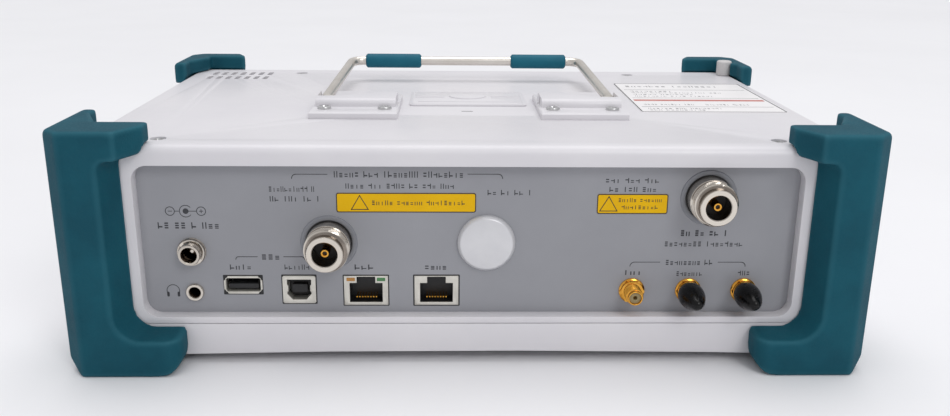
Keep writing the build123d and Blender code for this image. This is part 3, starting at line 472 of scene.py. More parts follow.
def copies_tree():
    """Geometry Nodes: a copy of the master mesh on every point, turned as the point says."""
    tree = bpy.data.node_groups.new("master_copies", "GeometryNodeTree")
    for name, kind in (
        ("Geometry", "NodeSocketGeometry"), ("Master", "NodeSocketObject"), ("Finish", "NodeSocketMaterial")
    ):
        tree.interface.new_socket(name, in_out="INPUT", socket_type=kind)
    tree.interface.new_socket("Geometry", in_out="OUTPUT", socket_type="NodeSocketGeometry")
    given = add_node(tree, "NodeGroupInput").outputs
    master = add_node(tree, "GeometryNodeObjectInfo", {"Object": given["Master"]}).outputs["Geometry"]
    turn = add_node(tree, "GeometryNodeInputNamedAttribute", {"Name": "turn"}, data_type="FLOAT_VECTOR")
    turned = add_node(tree, "FunctionNodeEulerToRotation", {"Euler": turn})
    placed = add_node(
        tree, "GeometryNodeInstanceOnPoints",
        {"Points": given["Geometry"], "Instance": master, "Rotation": turned}
    )
    solid = add_node(tree, "GeometryNodeRealizeInstances", {"Geometry": placed})
    finished = add_node(tree, "GeometryNodeSetMaterial", {"Geometry": solid, "Material": given["Finish"]})
    add_node(tree, "NodeGroupOutput", {"Geometry": finished})
    return tree


MASTER_COPIES = copies_tree()


def run_nodes(name, mesh, group, values):
    """The plain mesh that a Geometry Nodes group with these named inputs makes of a mesh."""
    obj = bpy.data.objects.new(name, mesh)
    scene.collection.objects.link(obj)
    modifier = obj.modifiers.new("nodes", "NODES")
    modifier.node_group = group
    for item in group.interface.items_tree:
        if item.name in values:
            modifier[item.identifier] = values[item.name]
    plain_mesh(obj)
    made = obj.data
    bpy.data.objects.remove(obj)
    return made


def copies(name, master, spots, ink, body, **options):
    """Copies of a master bmesh as one piece. A spot is (x, y, z, (its turns)), in mm and degrees."""
    bmesh.ops.recalc_face_normals(master, faces=master.faces[:])
    mesh = bpy.data.meshes.new(name + "_master")
    master.to_mesh(mesh)
    master.free()
    source = bpy.data.objects.new(name + "_master", mesh)
    scene.collection.objects.link(source)
    points = bpy.data.meshes.new(name)
    points.from_pydata([Vector(spot[:3]) * MM for spot in spots], [], [])
    turn = points.attributes.new("turn", "FLOAT_VECTOR", "POINT")
    turn.data.foreach_set("vector", [math.radians(angle) for spot in spots for angle in spot[3]])
    made = run_nodes(name, points, MASTER_COPIES, {"Master": source, "Finish": finish[ink]})
    bpy.data.objects.remove(source)
    return piece(name, made, [ink], body, **options)


def shaped(name, shape, materials, body, **options):
    """Turns a bmesh of closed shapes into a finished piece."""
    bmesh.ops.recalc_face_normals(shape, faces=shape.faces[:])
    mesh = bpy.data.meshes.new(name)
    shape.to_mesh(mesh)
    shape.free()
    return piece(name, mesh, materials, body, **options)


def merged_copy(node):
    """A copy of a CAD node's mesh with its triangles joined into flat faces."""
    mesh = cad[node].data.copy()
    if "custom_normal" in mesh.attributes:
        mesh.attributes.remove(mesh.attributes["custom_normal"])
    shape = bmesh.new()
    shape.from_mesh(mesh)
    for face in shape.faces:
        face.material_index = 0
    bmesh.ops.remove_doubles(shape, verts=shape.verts[:], dist=0.002 * MM)
    bmesh.ops.dissolve_limit(shape, angle_limit=math.radians(0.4), verts=shape.verts[:], edges=shape.edges[:])
    shape.to_mesh(mesh)
    shape.free()
    return mesh


BODY_OF = {node: body for body, members in frame["record"]["behaviour"]["bodies"].items() for node in members}
SLOT_OF = {part["node"]: part["material_slot"] for part in frame["record"]["subparts"]}


def softened(node, bevel, **options):
    """A CAD node with its edges rounded as moulded or turned ones are."""
    slot = SLOT_OF[node]
    return piece(
        node + "_body",
        merged_copy(node),
        [slot],
        BODY_OF[node],
        slot=slot,
        replaces=[node],
        bevel=bevel,
        **options,
    )


# ---------------------------------------------------------------- covers, panel and bumpers
softened("back_cover", 0.6, segments=3)
softened("front_cover", 0.5, segments=3)
softened("battery_door", 0.5)
softened("badge_plate", 0.2)
softened("stylus", 0.3)
for side in ("left", "right"):
    softened("hinge_plate_" + side, 0.45)
    softened("bail_sleeve_" + side, 0.35, segments=3)
softened("stand_bail", 0.0)


def moulded_bumper(node):
    """One elastomer bumper: the CAD shape remeshed evenly, and smoothed until its edges are round."""
    voxel = 0.75
    rounds = 7
    obj = bpy.data.objects.new("moulding", merged_copy(node))
    scene.collection.objects.link(obj)
    remesh = obj.modifiers.new("even", "REMESH")
    remesh.mode = "VOXEL"
    remesh.voxel_size = voxel * MM
    smooth = obj.modifiers.new("round", "SMOOTH")
    smooth.factor = 0.5
    smooth.iterations = rounds
    plain_mesh(obj)
    mesh = obj.data
    bpy.data.objects.remove(obj)
    piece(
        node + "_moulding",
        mesh,
        ["bumper_rubber"],
        "case",
        slot="bumper_rubber",
        replaces=[node],
        sharp=180.0,
    )


for end in ("front", "rear"):
    for side in ("left", "right"):
        moulded_bumper(f"bumper_{end}_{side}")


# ---------------------------------------------------------------- coaxial sockets
LOW_ROW = 27.0
RF_OUT, RF_IN = (-51.4, 45.6), (85.9, 62.9)
BLANK, DC, AUDIO = (5.7, 45.7), (-101.0, 42.2), (-101.0, 26.4)
LAN, GPIO = (-38.4, LOW_ROW), (-12.5, LOW_ROW)
USB_CLIENT, USB_HOST = (-62.9, LOW_ROW + 0.4), (-83.3, 29.2)
SMA_X = (59.9, 81.0, 101.7)
INCH = 25.4


def large_socket(name, at):
    """A type N socket: smooth root, a short band of thread, a narrower nose, and a painted ring behind it.

    The black piece is painted shade: the insulator deep inside, black for the shade of the bore, a plug in
    the pin's hole and a sheet in the gap inside the ring.
    """
    pitch = INCH / 24
    thread = (7.94, 6.5, 10.4)
    body = bmesh.new()
    outline = [
        (0, -20.2), (1.8, -20.2), (1.8, -14.0), (6.0, -14.0), (6.0, -5.0), (8.0, -5.0), (8.0, -0.6),
        (8.0, 0.2),
    ]
    outline += [(8.1, 0.3), (8.1, 5.6), (7.9, 5.8), (7.3, 6.1), (7.3, 6.4)]
    outline += thread_points(*thread, pitch)
    outline += [(7.2, 10.6), (6.55, 10.8), (6.55, 13.55), (6.3, 13.8), (4.75, 13.8), (4.45, 13.5)]
    outline += [(4.45, 4.6), (0, 4.6)]
    lathe(body, at, outline, segments=72, thread=(*thread, pitch, 0.62))
    shaped(name + "_body", body, ["nickel"], "case", slot="nickel", replaces=[name], sharp=40.0)
    ring = bmesh.new()
    lathe(
        ring,
        at,
        [(8.45, -1.6), (10.3, -1.6), (10.3, 0.15), (10.1, 0.4), (8.8, 0.4), (8.45, 0.1)],
        segments=72,
    )
    shaped(name + "_ring", ring, ["ring_paint"], "case", slot="panel_paint", sharp=50.0)
    # Black pieces as painted shade: the insulator at the bore's floor, a plug in the pin's hole and a sheet
    # in the gap inside the ring.
    bead_and_shade = bmesh.new()
    lathe(bead_and_shade, at, [(0, 4.3), (4.4, 4.3), (4.4, 5.4), (0, 5.4)], segments=48)
    lathe(bead_and_shade, at, [(0, 6.3), (0.78, 6.3), (0.78, 11.1), (0, 11.1)], segments=24)
    lathe(bead_and_shade, at, [(8.05, -1.0), (8.5, -1.0), (8.5, 0.06), (8.05, 0.06)], segments=72)
    shaped(name + "_bead", bead_and_shade, ["black_plastic"], "case", slot="black_plastic")


large_socket("rf_out_connector", RF_OUT)
large_socket("rf_in_connector", RF_IN)

contacts = bmesh.new()
outline = [(0, 4.4), (1.52, 4.4), (1.52, 11.7), (1.35, 12.0), (0.85, 12.0), (0.7, 11.8), (0.7, 6.5), (0, 6.5)]
for at in (RF_OUT, RF_IN):
    lathe(contacts, at, outline, 36)
shaped("rf_contact_pins", contacts, ["gold_plate"], "case", slot="gold_plate", replaces=["rf_contacts"])


def small_sockets():
    """The SMA sockets: flange, hexagon, fine thread, plain nose and a PTFE face round the pin hole, darkened
    with painted shade.
    """
    pitch = INCH / 36
    thread = (3.175, 1.9, 6.9)
    body, face = bmesh.new(), bmesh.new()
    for x in SMA_X:
        at = (x, LOW_ROW)
        outline = [
            (0, -12.0), (2.0, -12.0), (2.0, -5.0), (4.6, -5.0), (4.6, -0.5), (4.8, -0.4), (4.8, 0.5),
            (4.6, 0.7),
        ]
        outline += [(4.2, 0.9), (4.1, 1.7), (3.9, 1.8), (3.0, 1.85)]
        outline += thread_points(*thread, pitch)
        outline += [(2.72, 7.0), (2.72, 8.15), (2.6, 8.3), (2.3, 8.3), (2.15, 8.1), (2.15, 5.6), (0, 5.6)]
        lathe(body, at, outline, segments=48, thread=(*thread, pitch, 0.3))
        lathe(face, at, [(0, 5.0), (2.2, 5.0), (2.2, 7.6), (0.8, 7.6), (0.8, 5.2), (0, 5.2)], segments=32)
        plate(body, on_panel, circle(4.62, at, 6), 0.6, 1.55)
    shaped(
        "sma_bodies", body, ["gold_plate"], "case", slot="gold_plate", replaces=["sma_connectors"], sharp=40.0
    )
    shaped("sma_beads", face, ["ptfe"], "case", slot="gold_plate")


small_sockets()

plug = bmesh.new()
outline = [
    (0, -5.0), (7.8, -5.0), (7.8, 0.0), (10.5, 0.0), (10.5, 0.9), (10.3, 1.25), (9.75, 1.95), (9.45, 2.2)
]
lathe(plug, BLANK, outline + [(9.2, 2.3), (0, 2.3)], 96)
shaped(
    "blank_plug_cap",
    plug,
    ["plug_aluminium"],
    "case",
    slot="plug_aluminium",
    replaces=["port_blank_plug"],
    sharp=50.0,
)

inlet = bmesh.new()
inlet_thread = (4.0, 2.0, 4.4, 0.75)
outline = [
    (0, -13.0), (5.4, -13.0), (5.4, -2.0), (4.0, -2.0), (4.0, 0.0), (5.2, 0.0), (5.2, 0.7), (5.05, 0.85)
]
outline += [(5.05, 1.6), (4.85, 1.95), (4.1, 2.0)] + thread_points(*inlet_thread)
outline += [(3.75, 4.75), (3.5, 4.8), (3.0, 4.8), (2.75, 4.5), (2.75, -9.0), (0, -9.0)]
lathe(inlet, DC, outline, segments=56, thread=(*inlet_thread, 0.28))
lathe(inlet, DC, [(0, -9.0), (1.0, -9.0), (1.0, -0.4), (0.6, 0.0), (0, 0.0)], segments=20)
shaped("dc_inlet_body", inlet, ["nickel"], "case", slot="nickel", replaces=["dc_jack"], sharp=40.0)

phones = bmesh.new()
outline = [
    (0, -16.0), (5.0, -16.0), (5.0, -2.0), (2.9, -2.0), (2.9, 0.0), (3.3, 0.0), (3.3, 0.8), (3.05, 1.1)
]
outline += [(2.3, 1.1), (2.15, 0.95), (1.8, 0.4), (1.8, -14.5), (0, -14.5)]
lathe(phones, AUDIO, outline, segments=48)
shaped("audio_nose", phones, ["nickel"], "case", slot="nickel", replaces=["audio_jack"], sharp=40.0)


# ---------------------------------------------------------------- rectangular sockets
def shift(points, at):
    """An outline moved to its place."""
    return [(u + at[0], v + at[1]) for u, v in points]


def dark_well(name, at, outside, inside):
    """A black sheet of painted shade in a socket's cut-out, round the shell, where the panel's hole lies in
    shadow.
    """
    well = bmesh.new()
    tube(well, on_panel, rounded(*outside, 0.3, at), rounded(*inside, 0.3, at), -1.9, 0.02)
    shaped(name, well, ["black_plastic"], "case", slot="black_plastic")


def modular_socket(name, at, lights):
    """An eight-way modular socket: tin shell, its latch notch up, dark insert, eight gold contacts."""
    shell, insert, springs = bmesh.new(), bmesh.new(), bmesh.new()
    mouth, side, top, shoulder, notch, sill = 6.05, 8.1, 5.75, 2.95, 3.4, -4.6
    lip = top - 0.35
    arch = [(-mouth, sill), (mouth, sill), (mouth, shoulder), (notch, shoulder)]
    arch += [(notch, lip), (-notch, lip), (-notch, shoulder), (-mouth, shoulder)]
    border = [(-side, -top), (side, -top), (side, shoulder), (side - 0.01, top)]
    border += [(notch, top), (-notch, top), (0.01 - side, top), (-side, shoulder)]
    tube(shell, on_panel, shift(border, at), shift(arch, at), -6.0, 0.3)
    shaped(name + "_shell", shell, ["shell_steel"], "case", slot="shell_steel", replaces=[name], bevel=0.12)
    plate(insert, on_panel, shift([(-7.9, -5.6), (7.9, -5.6), (7.9, 5.6), (-7.9, 5.6)], at), -18.0, -6.0)
    inner = [(u * 0.985, v * 0.985) for u, v in arch]
    tube(insert, on_panel, shift([(u * 1.02, v * 1.02) for u, v in arch], at), shift(inner, at), -7.0, -0.1)
    shaped(name + "_insert", insert, ["black_plastic"], "case", slot="black_plastic")
    for k in range(8):
        u = at[0] + (k - 3.5) * 1.02
        plate(springs, on_panel, rounded(0.42, 0.5, 0.12, (u, at[1] - 3.2), 2), -6.5, -1.6)
    shaped(name + "_springs", springs, ["gold_plate"], "case", slot="gold_plate")
    if lights:
        for hand, key in ((-1, "amber_light"), (1, "green_light")):
            lens = bmesh.new()
            plate(lens, on_panel, rounded(3.1, 1.35, 0.2, (at[0] + hand * 5.55, at[1] + 4.4), 2), -0.5, 0.36)
            shaped(name + "_" + key, lens, [key], "case", slot="shell_steel")


modular_socket("lan_jack", LAN, True)
modular_socket("gpio_jack", GPIO, False)
dark_well("lan_well", LAN, (17.0, 12.3), (15.9, 11.2))
dark_well("gpio_well", GPIO, (17.2, 12.4), (15.9, 11.2))


def usb_client():
    """A type B socket: thick tin frame, the mouth's lower corners cut off, a dark tongue in its middle."""
    at = USB_CLIENT
    mouth = [
        (-2.5, -3.9), (2.5, -3.9), (4.4, -1.7), (4.4, -0.9), (4.0, -0.7), (4.0, 1.6), (4.4, 1.8), (4.4, 3.9)
    ]
    mouth += [(-4.4, 3.9), (-4.4, 1.8), (-4.0, 1.6), (-4.0, -0.7), (-4.4, -0.9), (-4.4, -1.7)]
    w, h = 6.05, 5.4
    border = [
        (-2.5, -h), (2.5, -h), (w - 0.5, -h), (w, -h + 0.5), (w, -0.7), (w, 1.6), (w, h - 0.5), (w - 0.5, h)
    ]
    border += [(-w + 0.5, h), (-w, h - 0.5), (-w, 1.6), (-w, -0.7), (-w, -h + 0.5), (-w + 0.5, -h)]
    shell, insert = bmesh.new(), bmesh.new()
    tube(shell, on_panel, shift(border, at), shift(mouth, at), -4.0, 0.4)
    shaped(
        "usb_client_shell",
        shell,
        ["shell_steel"],
        "case",
        slot="shell_steel",
        replaces=["usb_client_port"],
        bevel=0.12,
    )
    plate(insert, on_panel, rounded(11.8, 10.5, 0.5, at, 2), -16.0, -4.0)
    plate(insert, on_panel, rounded(5.6, 3.2, 0.3, (at[0], at[1] - 0.1), 2), -5.0, -1.2)
    shaped("usb_client_insert", insert, ["black_plastic"], "case", slot="black_plastic", bevel=0.1)
    dark_well("usb_client_well", at, (12.9, 11.6), (11.9, 10.6))


def usb_host():
    """A type A socket: thin tin shell whose four flared lips leave the corners of the cut-out dark with
    painted shade.
    """
    at = USB_HOST
    shell, insert = bmesh.new(), bmesh.new()
    tube(shell, on_panel, rounded(13.1, 5.7, 0.9, at), rounded(12.5, 5.1, 0.6, at), -13.6, 0.1)
    for across, half, reach in ((True, 5.5, 2.72), (False, 1.75, 6.42)):
        for side in (-1, 1):
            lip = [(-half - 0.3, 0.0), (half + 0.3, 0.0), (half, 0.75), (-half, 0.75)]
            if across:
                outline = [(at[0] + u, at[1] + side * (reach + v)) for u, v in lip]
            else:
                outline = [(at[0] + side * (reach + v * 0.8), at[1] + u) for u, v in lip]
            plate(shell, on_panel, outline, -0.1, 0.35)
    shaped(
        "usb_host_shell",
        shell,
        ["shell_steel"],
        "case",
        slot="shell_steel",
        replaces=["usb_host_port"],
        bevel=0.1,
    )
    plate(insert, on_panel, rounded(12.9, 5.5, 0.5, at, 2), -14.0, -12.0)
    plate(insert, on_panel, rounded(11.0, 1.9, 0.3, (at[0], at[1] - 0.8), 2), -13.0, -0.8)
    shaped("usb_host_insert", insert, ["black_plastic"], "case", slot="black_plastic", bevel=0.1)
    dark_well("usb_host_well", at, (14.5, 7.7), (12.8, 5.4))


usb_client()
usb_host()


# ---------------------------------------------------------------- printed legends
def strokes_tree():
    """Geometry Nodes: on every point one mark of thin bars, which is no letter, scaled as the point says."""
    tree = bpy.data.node_groups.new("letter_marks", "GeometryNodeTree")
    for name, kind in (
        ("Geometry", "NodeSocketGeometry"),
        ("Stroke", "NodeSocketFloat"),
        ("Rise", "NodeSocketFloat"),
        ("Seed", "NodeSocketInt"),
        ("Ink", "NodeSocketMaterial"),
    ):
        tree.interface.new_socket(name, in_out="INPUT", socket_type=kind)
    tree.interface.new_socket("Geometry", in_out="OUTPUT", socket_type="NodeSocketGeometry")
    given = add_node(tree, "NodeGroupInput").outputs
    upright = add_node(
        tree, "ShaderNodeCombineXYZ", {"X": given["Stroke"], "Y": 1.0 * MM, "Z": given["Rise"]}
    )
    level = add_node(tree, "ShaderNodeCombineXYZ", {"X": 0.72 * MM, "Y": given["Stroke"], "Z": given["Rise"]})
    post = add_node(tree, "GeometryNodeMeshCube", {"Size": upright})
    bar = add_node(tree, "GeometryNodeMeshCube", {"Size": level})
    sources = {"post": post, "bar": bar}
    shapes = []
    for layout in (
        (("post", -0.3, 0.0), ("post", 0.3, 0.0)),
        (("post", -0.36, 0.0), ("bar", 0.06, -0.2)),
        (("bar", 0.0, 0.36), ("bar", 0.0, 0.0), ("bar", 0.0, -0.36)),
        (("post", 0.0, 0.0),),
        (("bar", 0.0, 0.2), ("bar", 0.0, -0.26)),
        (("post", 0.34, 0.0), ("bar", -0.06, 0.14)),
    ):
        parts = []
        for part, u, v in layout:
            parts.append(
                add_node(
                    tree,
                    "GeometryNodeTransform",
                    {"Geometry": sources[part], "Translation": (u * MM, v * MM, 0)},
                ),
            )
        joined = add_node(tree, "GeometryNodeJoinGeometry")
        for part in parts:
            tree.links.new(part.outputs[0], joined.inputs[0])
        shapes.append(joined)
    pool = add_node(tree, "GeometryNodeGeometryToInstance")
    for joined in shapes:
        tree.links.new(joined.outputs[0], pool.inputs[0])
    pick = add_node(
        tree,
        "FunctionNodeRandomValue",
        {"Min": 0, "Max": len(shapes) - 1, "Seed": given["Seed"]},
        data_type="INT",
    )
    size = add_node(tree, "GeometryNodeInputNamedAttribute", {"Name": "letter"}, data_type="FLOAT_VECTOR")
    placed = add_node(
        tree,
        "GeometryNodeInstanceOnPoints",
        {
            "Points": given["Geometry"],
            "Instance": pool,
            "Pick Instance": True,
            "Instance Index": pick.outputs[2],
            "Scale": size,
        },
    )
    solid = add_node(tree, "GeometryNodeRealizeInstances", {"Geometry": placed})
    inked = add_node(tree, "GeometryNodeSetMaterial", {"Geometry": solid, "Material": given["Ink"]})
    add_node(tree, "NodeGroupOutput", {"Geometry": inked})
    return tree


LETTER_MARKS = strokes_tree()


def legend(name, place, rows, ink, body, slot, stroke=0.22, seed=3):
    """Lines of marks in place of lettering.

    A row is (left, right, middle height, capital height, letters in each word).
    """
    draw = random.Random(seed)
    points, sizes = [], []
    for left, right, middle, tall, words in rows:
        count = sum(words) + 0.7 * (len(words) - 1)
        step = (right - left) / count
        u = left + step / 2
        for word in words:
            for letter in range(word):
                height = tall if letter == 0 else tall * draw.choice((0.74, 0.74, 0.74, 1.0))
                points.append((u, middle - (tall - height) / 2, 0))
                sizes.append((step * 0.82, height, 1.0))
                u += step
            u += 0.7 * step
    mesh = bpy.data.meshes.new(name)
    mesh.from_pydata([Vector(p) * MM for p in points], [], [])
    attribute = mesh.attributes.new("letter", "FLOAT_VECTOR", "POINT")
    attribute.data.foreach_set("vector", [c for size in sizes for c in size])
    values = {"Stroke": stroke * MM, "Rise": 2 * INK_RISE * MM, "Seed": seed, "Ink": finish[ink]}
    made = run_nodes(name, mesh, LETTER_MARKS, values)
    for vertex in made.vertices:
        u, v, w = vertex.co / MM
        vertex.co = place(u, v, w)
    shape = bmesh.new()
    shape.from_mesh(made)
    shaped(name, shape, [ink], body, slot=slot)


PANEL_ROWS = [
    (-49.1, -2.6, 71.2, 2.3, (5, 3, 7, 8)),
    (-45.1, -6.0, 66.9, 1.9, (4, 3, 4, 2, 3, 3)),
    (-72.3, -55.8, 65.7, 2.0, (10, 1)),
    (-72.2, -53.9, 62.1, 2.0, (2, 3, 2, 1)),
    (5.7, 21.9, 64.6, 2.0, (2, 2, 2, 1)),
    (47.9, 67.7, 69.2, 1.9, (3, 3, 3)),
    (49.5, 66.9, 65.9, 1.9, (2, 3, 3)),
    (70.8, 100.0, 45.2, 2.0, (8, 8)),
    (71.7, 89.5, 38.0, 2.1, (8, 2)),
    (56.2, 63.6, 34.0, 1.9, (3,)),
    (76.0, 86.0, 33.6, 1.9, (7,)),
    (98.9, 103.7, 33.8, 1.9, (3,)),
    (-112.7, -90.3, 52.0, 2.4, (2, 2, 1, 3)),
    (-76.4, -69.2, 40.0, 2.1, (3,)),
    (-88.0, -79.8, 36.1, 2.0, (4,)),
    (-68.1, -58.8, 36.1, 2.0, (6,)),
    (-42.7, -35.3, 36.1, 2.0, (3,)),
    (-17.1, -8.5, 36.1, 2.0, (4,)),
]
legend("panel_marks", on_panel, PANEL_ROWS, "ink", "case", "panel_paint")
BOLD_ROWS = [(76.4, 94.1, 49.4, 2.3, (2, 2, 2, 1))]
legend("panel_marks_bold", on_panel, BOLD_ROWS, "ink", "case", "panel_paint", stroke=0.28, seed=5)

# the polarity drawing over the inlet is centred at this height
POLARITY = 57.4
lines = bmesh.new()
for path in (
    [(-51.2, 71.2), (-62.2, 71.2)] + arc((-62.2, 69.6), 1.6, 90, 180),
    [(-1.2, 71.4), (9.6, 71.4)] + arc((9.6, 69.8), 1.6, 90, 0),
    [(-77.6, 40.1), (-84.4, 40.1)] + arc((-84.4, 39.1), 1.0, 90, 180),
    [(-68.0, 40.1), (-61.5, 40.1)] + arc((-61.5, 39.1), 1.0, 90, 0),
    [(69.8, 38.1), (60.4, 38.1)] + arc((60.4, 36.5), 1.6, 90, 180),
    [(91.4, 38.1), (100.0, 38.1)] + arc((100.0, 36.5), 1.6, 90, 0),
    arc((-107.7, POLARITY), 1.6, 0, 360, 20),
    arc((-96.6, POLARITY), 1.6, 0, 360, 20),
    arc((-102.1, POLARITY), 2.2, 40, 320, 16),
    [(-106.1, POLARITY), (-104.3, POLARITY)],
    [(-101.2, POLARITY), (-98.2, POLARITY)],
    [(-108.3, POLARITY), (-107.1, POLARITY)],
    [(-97.2, POLARITY), (-96.0, POLARITY)],
    [(-96.6, 56.8), (-96.6, 58.0)],
    arc((-109.0, 26.9), 2.3, 210, -30, 16),
):
    ribbon(lines, on_panel, path, 0.24)
plate(lines, on_panel, circle(1.05, (-102.1, POLARITY), 20), 0.0, INK_RISE)
for u in (-110.9, -107.1):
    plate(lines, on_panel, rounded(0.9, 1.9, 0.35, (u, 25.5), 3), 0.0, INK_RISE)
shaped("panel_lines", lines, ["ink"], "case", slot="panel_paint", sharp=60.0)


def on_film(u, v, w):
    """Across, up and out of a caution film."""
    return on_panel(u, v, w + 0.1)


def caution_film(name, left, right, low, high, sign_width, rows):
    """A yellow label with a thin dark border, an empty triangle and rows of marks."""
    middle = ((left + right) / 2, (low + high) / 2)
    size = (right - left, high - low)
    edge = rounded(size[0], size[1], 0.8, middle)
    film, border = bmesh.new(), bmesh.new()
    plate(film, on_panel, edge, 0.0, 0.1)
    shaped(name, film, ["yellow_film"], "case", slot="panel_paint")
    tube(border, on_panel, edge, rounded(size[0] - 0.7, size[1] - 0.7, 0.55, middle), 0.08, 0.12)
    base, peak, centre = low + 1.1, high - 1.0, left + sign_width
    half = (peak - base) * 0.58
    corners = [(centre - half, base), (centre + half, base), (centre, peak), (centre - half, base)]
    ribbon(border, on_panel, corners, 0.3, 0.08, 0.13)
    shaped(name + "_border", border, ["black_ink"], "case", slot="panel_paint")
    legend(name + "_marks", on_film, rows, "black_ink", "case", "panel_paint", stroke=0.2, seed=7)


caution_film("caution_film_left", -48.3, 1.8, 57.1, 64.4, 8.4, [(-35.8, -2.0, 60.7, 1.8, (5, 6, 9))])
small_rows = [(53.0, 69.0, 61.9, 1.5, (5, 6)), (54.2, 67.8, 59.2, 1.5, (9,))]
caution_film("caution_film_right", 45.5, 71.2, 56.7, 64.2, 4.2, small_rows)


# ---------------------------------------------------------------- dust caps
for cap, x in (("trigger_cap", SMA_X[1]), ("reference_cap", SMA_X[2])):
    skirt = bmesh.new()
    outline = [
        (3.3, 2.5), (3.45, 2.3), (4.05, 2.3), (4.25, 2.6), (4.5, 3.4), (4.68, 4.4), (4.75, 5.6), (4.7, 6.9),
        (4.55, 8.1),
    ]
    outline += [
        (4.3, 9.2), (3.97, 10.3), (3.55, 11.6), (3.0, 12.9), (2.55, 13.7), (2.16, 14.4), (1.6, 15.2),
        (0.9, 15.7), (0, 15.9),
    ]
    lathe(skirt, (x, LOW_ROW), [(0, 8.6), (3.3, 8.6)] + outline, segments=48)
    shaped(cap + "_moulding", skirt, ["cap_rubber"], cap, slot="cap_rubber", replaces=[cap], sharp=80.0)


# ---------------------------------------------------------------- screws
def cross_outline(arm, half, count=48):
    """Points of a cross recess, one for each direction of a circle with the same count."""
    points = []
    for i in range(count):
        c, s = math.cos(2 * math.pi * i / count), math.sin(2 * math.pi * i / count)
        reach = [min(a / max(abs(c), 1e-6), b / max(abs(s), 1e-6)) for a, b in ((arm, half), (half, arm))]
        points.append((max(reach) * c, max(reach) * s))
    return points


def screw_master(head, shank):
    """A cross-recessed machine screw, its origin on top of the head."""
    master = bmesh.new()
    profile = [
        (1.5, -shank), (1.5, -head), (2.7, -head), (2.75, -head + 0.1), (2.75, -0.4), (2.6, -0.12),
        (2.25, 0.0),
    ]
    levels = [(circle(radius, count=48), height) for radius, height in profile]
    levels += [
        (cross_outline(1.62, 0.45), 0.0), (cross_outline(1.3, 0.34), -0.75), (cross_outline(0.6, 0.2), -0.9)
    ]
    stack(master, flat, levels)
    return master


COVER_SCREWS = [(-111.5, -76.0, 12), (111.5, -76.0, 47), (-84.0, 78.0, 66), (84.0, 78.0, 28)]
cover_spots = [(x, y, CASE_TOP - 0.4, (0, 0, turn)) for x, y, turn in COVER_SCREWS]
copies(
    "cover_screws",
    screw_master(1.4, 64.0),
    cover_spots,
    "screw_steel",
    "case",
    slot="screw_steel",
    replaces=["case_screws"],
    sharp=30.0,
)
plate_spots = [
    (side * 46.1 + offset, -31.6, CASE_TOP + 3.6, (0, 0, 40 * side + 3 * offset))
    for side in (-1, 1)
    for offset in (-12.1, 12.1)
]
copies(
    "hinge_screws", screw_master(1.0, 7.5), plate_spots, "screw_steel", "case", slot="screw_steel", sharp=30.0
)


# ---------------------------------------------------------------- badge plate, rating label and a painted shade mark on the cover
LABEL_X = 102.7
LABEL = (LABEL_X, 13.0)


def on_label(u, v, w):
    """Across, rearwards and up from the rating label's film."""
    return on_top(u, v, w + 0.2)


def on_badge(u, v, w):
    """Across, rearwards and up from the badge plate."""
    return on_top(u, v, w + 0.7)


film, print_red, frame_and_edge_shade = bmesh.new(), bmesh.new(), bmesh.new()
plate(film, on_top, rounded(61.6, 72.0, 1.0, LABEL), 0.0, 0.2)
shaped("rating_label_film", film, ["label_film"], "case", slot="label_film", replaces=["rating_label"])
plate(print_red, on_label, rounded(58.0, 3.4, 0.2, (LABEL_X, 3.6), 1), 0.0, INK_RISE)
shaped("rating_label_stripe", print_red, ["red_ink"], "case", slot="label_film")
# The dark frame round the film is print, and its front side also stands for the shadow along the label's
# front edge: painted shadow. Rules cross the film.
tube(frame_and_edge_shade, on_label, rounded(61.2, 71.6, 0.9, LABEL), rounded(60.2, 70.6, 0.5, LABEL), 0.0, INK_RISE)
for height in (-11.5, 9.5, 31.0):
    plate(frame_and_edge_shade, on_label, rounded(57.0, 0.35, 0.1, (LABEL_X, height), 1), 0.0, INK_RISE)
shaped("rating_label_rules", frame_and_edge_shade, ["ink"], "case", slot="label_film")
label_rows = [
    (76.0, 98.0, -6.5, 2.6, (4, 6, 3)),
    (103.0, 122.0, -6.5, 2.6, (7, 5)),
    (76.0, 108.0, -15.5, 2.0, (6, 3, 8)),
    (76.0, 100.0, -19.0, 2.0, (3, 9)),
    (76.0, 112.0, 14.0, 2.0, (8, 4, 6)),
    (76.0, 104.0, 18.5, 2.0, (5, 7)),
    (76.0, 118.0, 23.0, 2.0, (4, 4, 9, 3)),
    (76.0, 96.0, 27.0, 2.0, (9,)),
    (76.0, 121.0, 40.5, 3.6, (7, 8)),
]
legend("rating_label_marks", on_label, label_rows, "ink", "case", "label_film", stroke=0.14, seed=11)

emboss = bmesh.new()
for side in (-1, 1):
    for height in (8.0, 4.6):
        plate(emboss, on_badge, rounded(12.6, 0.8, 0.35, (side * 16.6, height), 3), -0.1, 0.18)
plate(emboss, on_badge, rounded(43.0, 0.8, 0.35, (0, -5.2), 3), -0.1, 0.18)
tube(emboss, on_badge, rounded(48.4, 30.4, 1.6, (0, 4.0)), rounded(46.8, 28.8, 1.2, (0, 4.0)), -0.1, 0.12)
shaped("badge_emboss", emboss, ["cover_plastic"], "case", slot="cover_plastic", bevel=0.05)
# A dark ink dash on the cover: painted shade for a small recess.
recess_shade = bmesh.new()
plate(recess_shade, on_top, rounded(4.8, 0.8, 0.38, (-0.6, -23.0), 3), -0.2, INK_RISE)
shaped("cover_mark", recess_shade, ["ink"], "case", slot="cover_plastic")


# ---------------------------------------------------------------- keypad face
KEY_RISE = 1.3


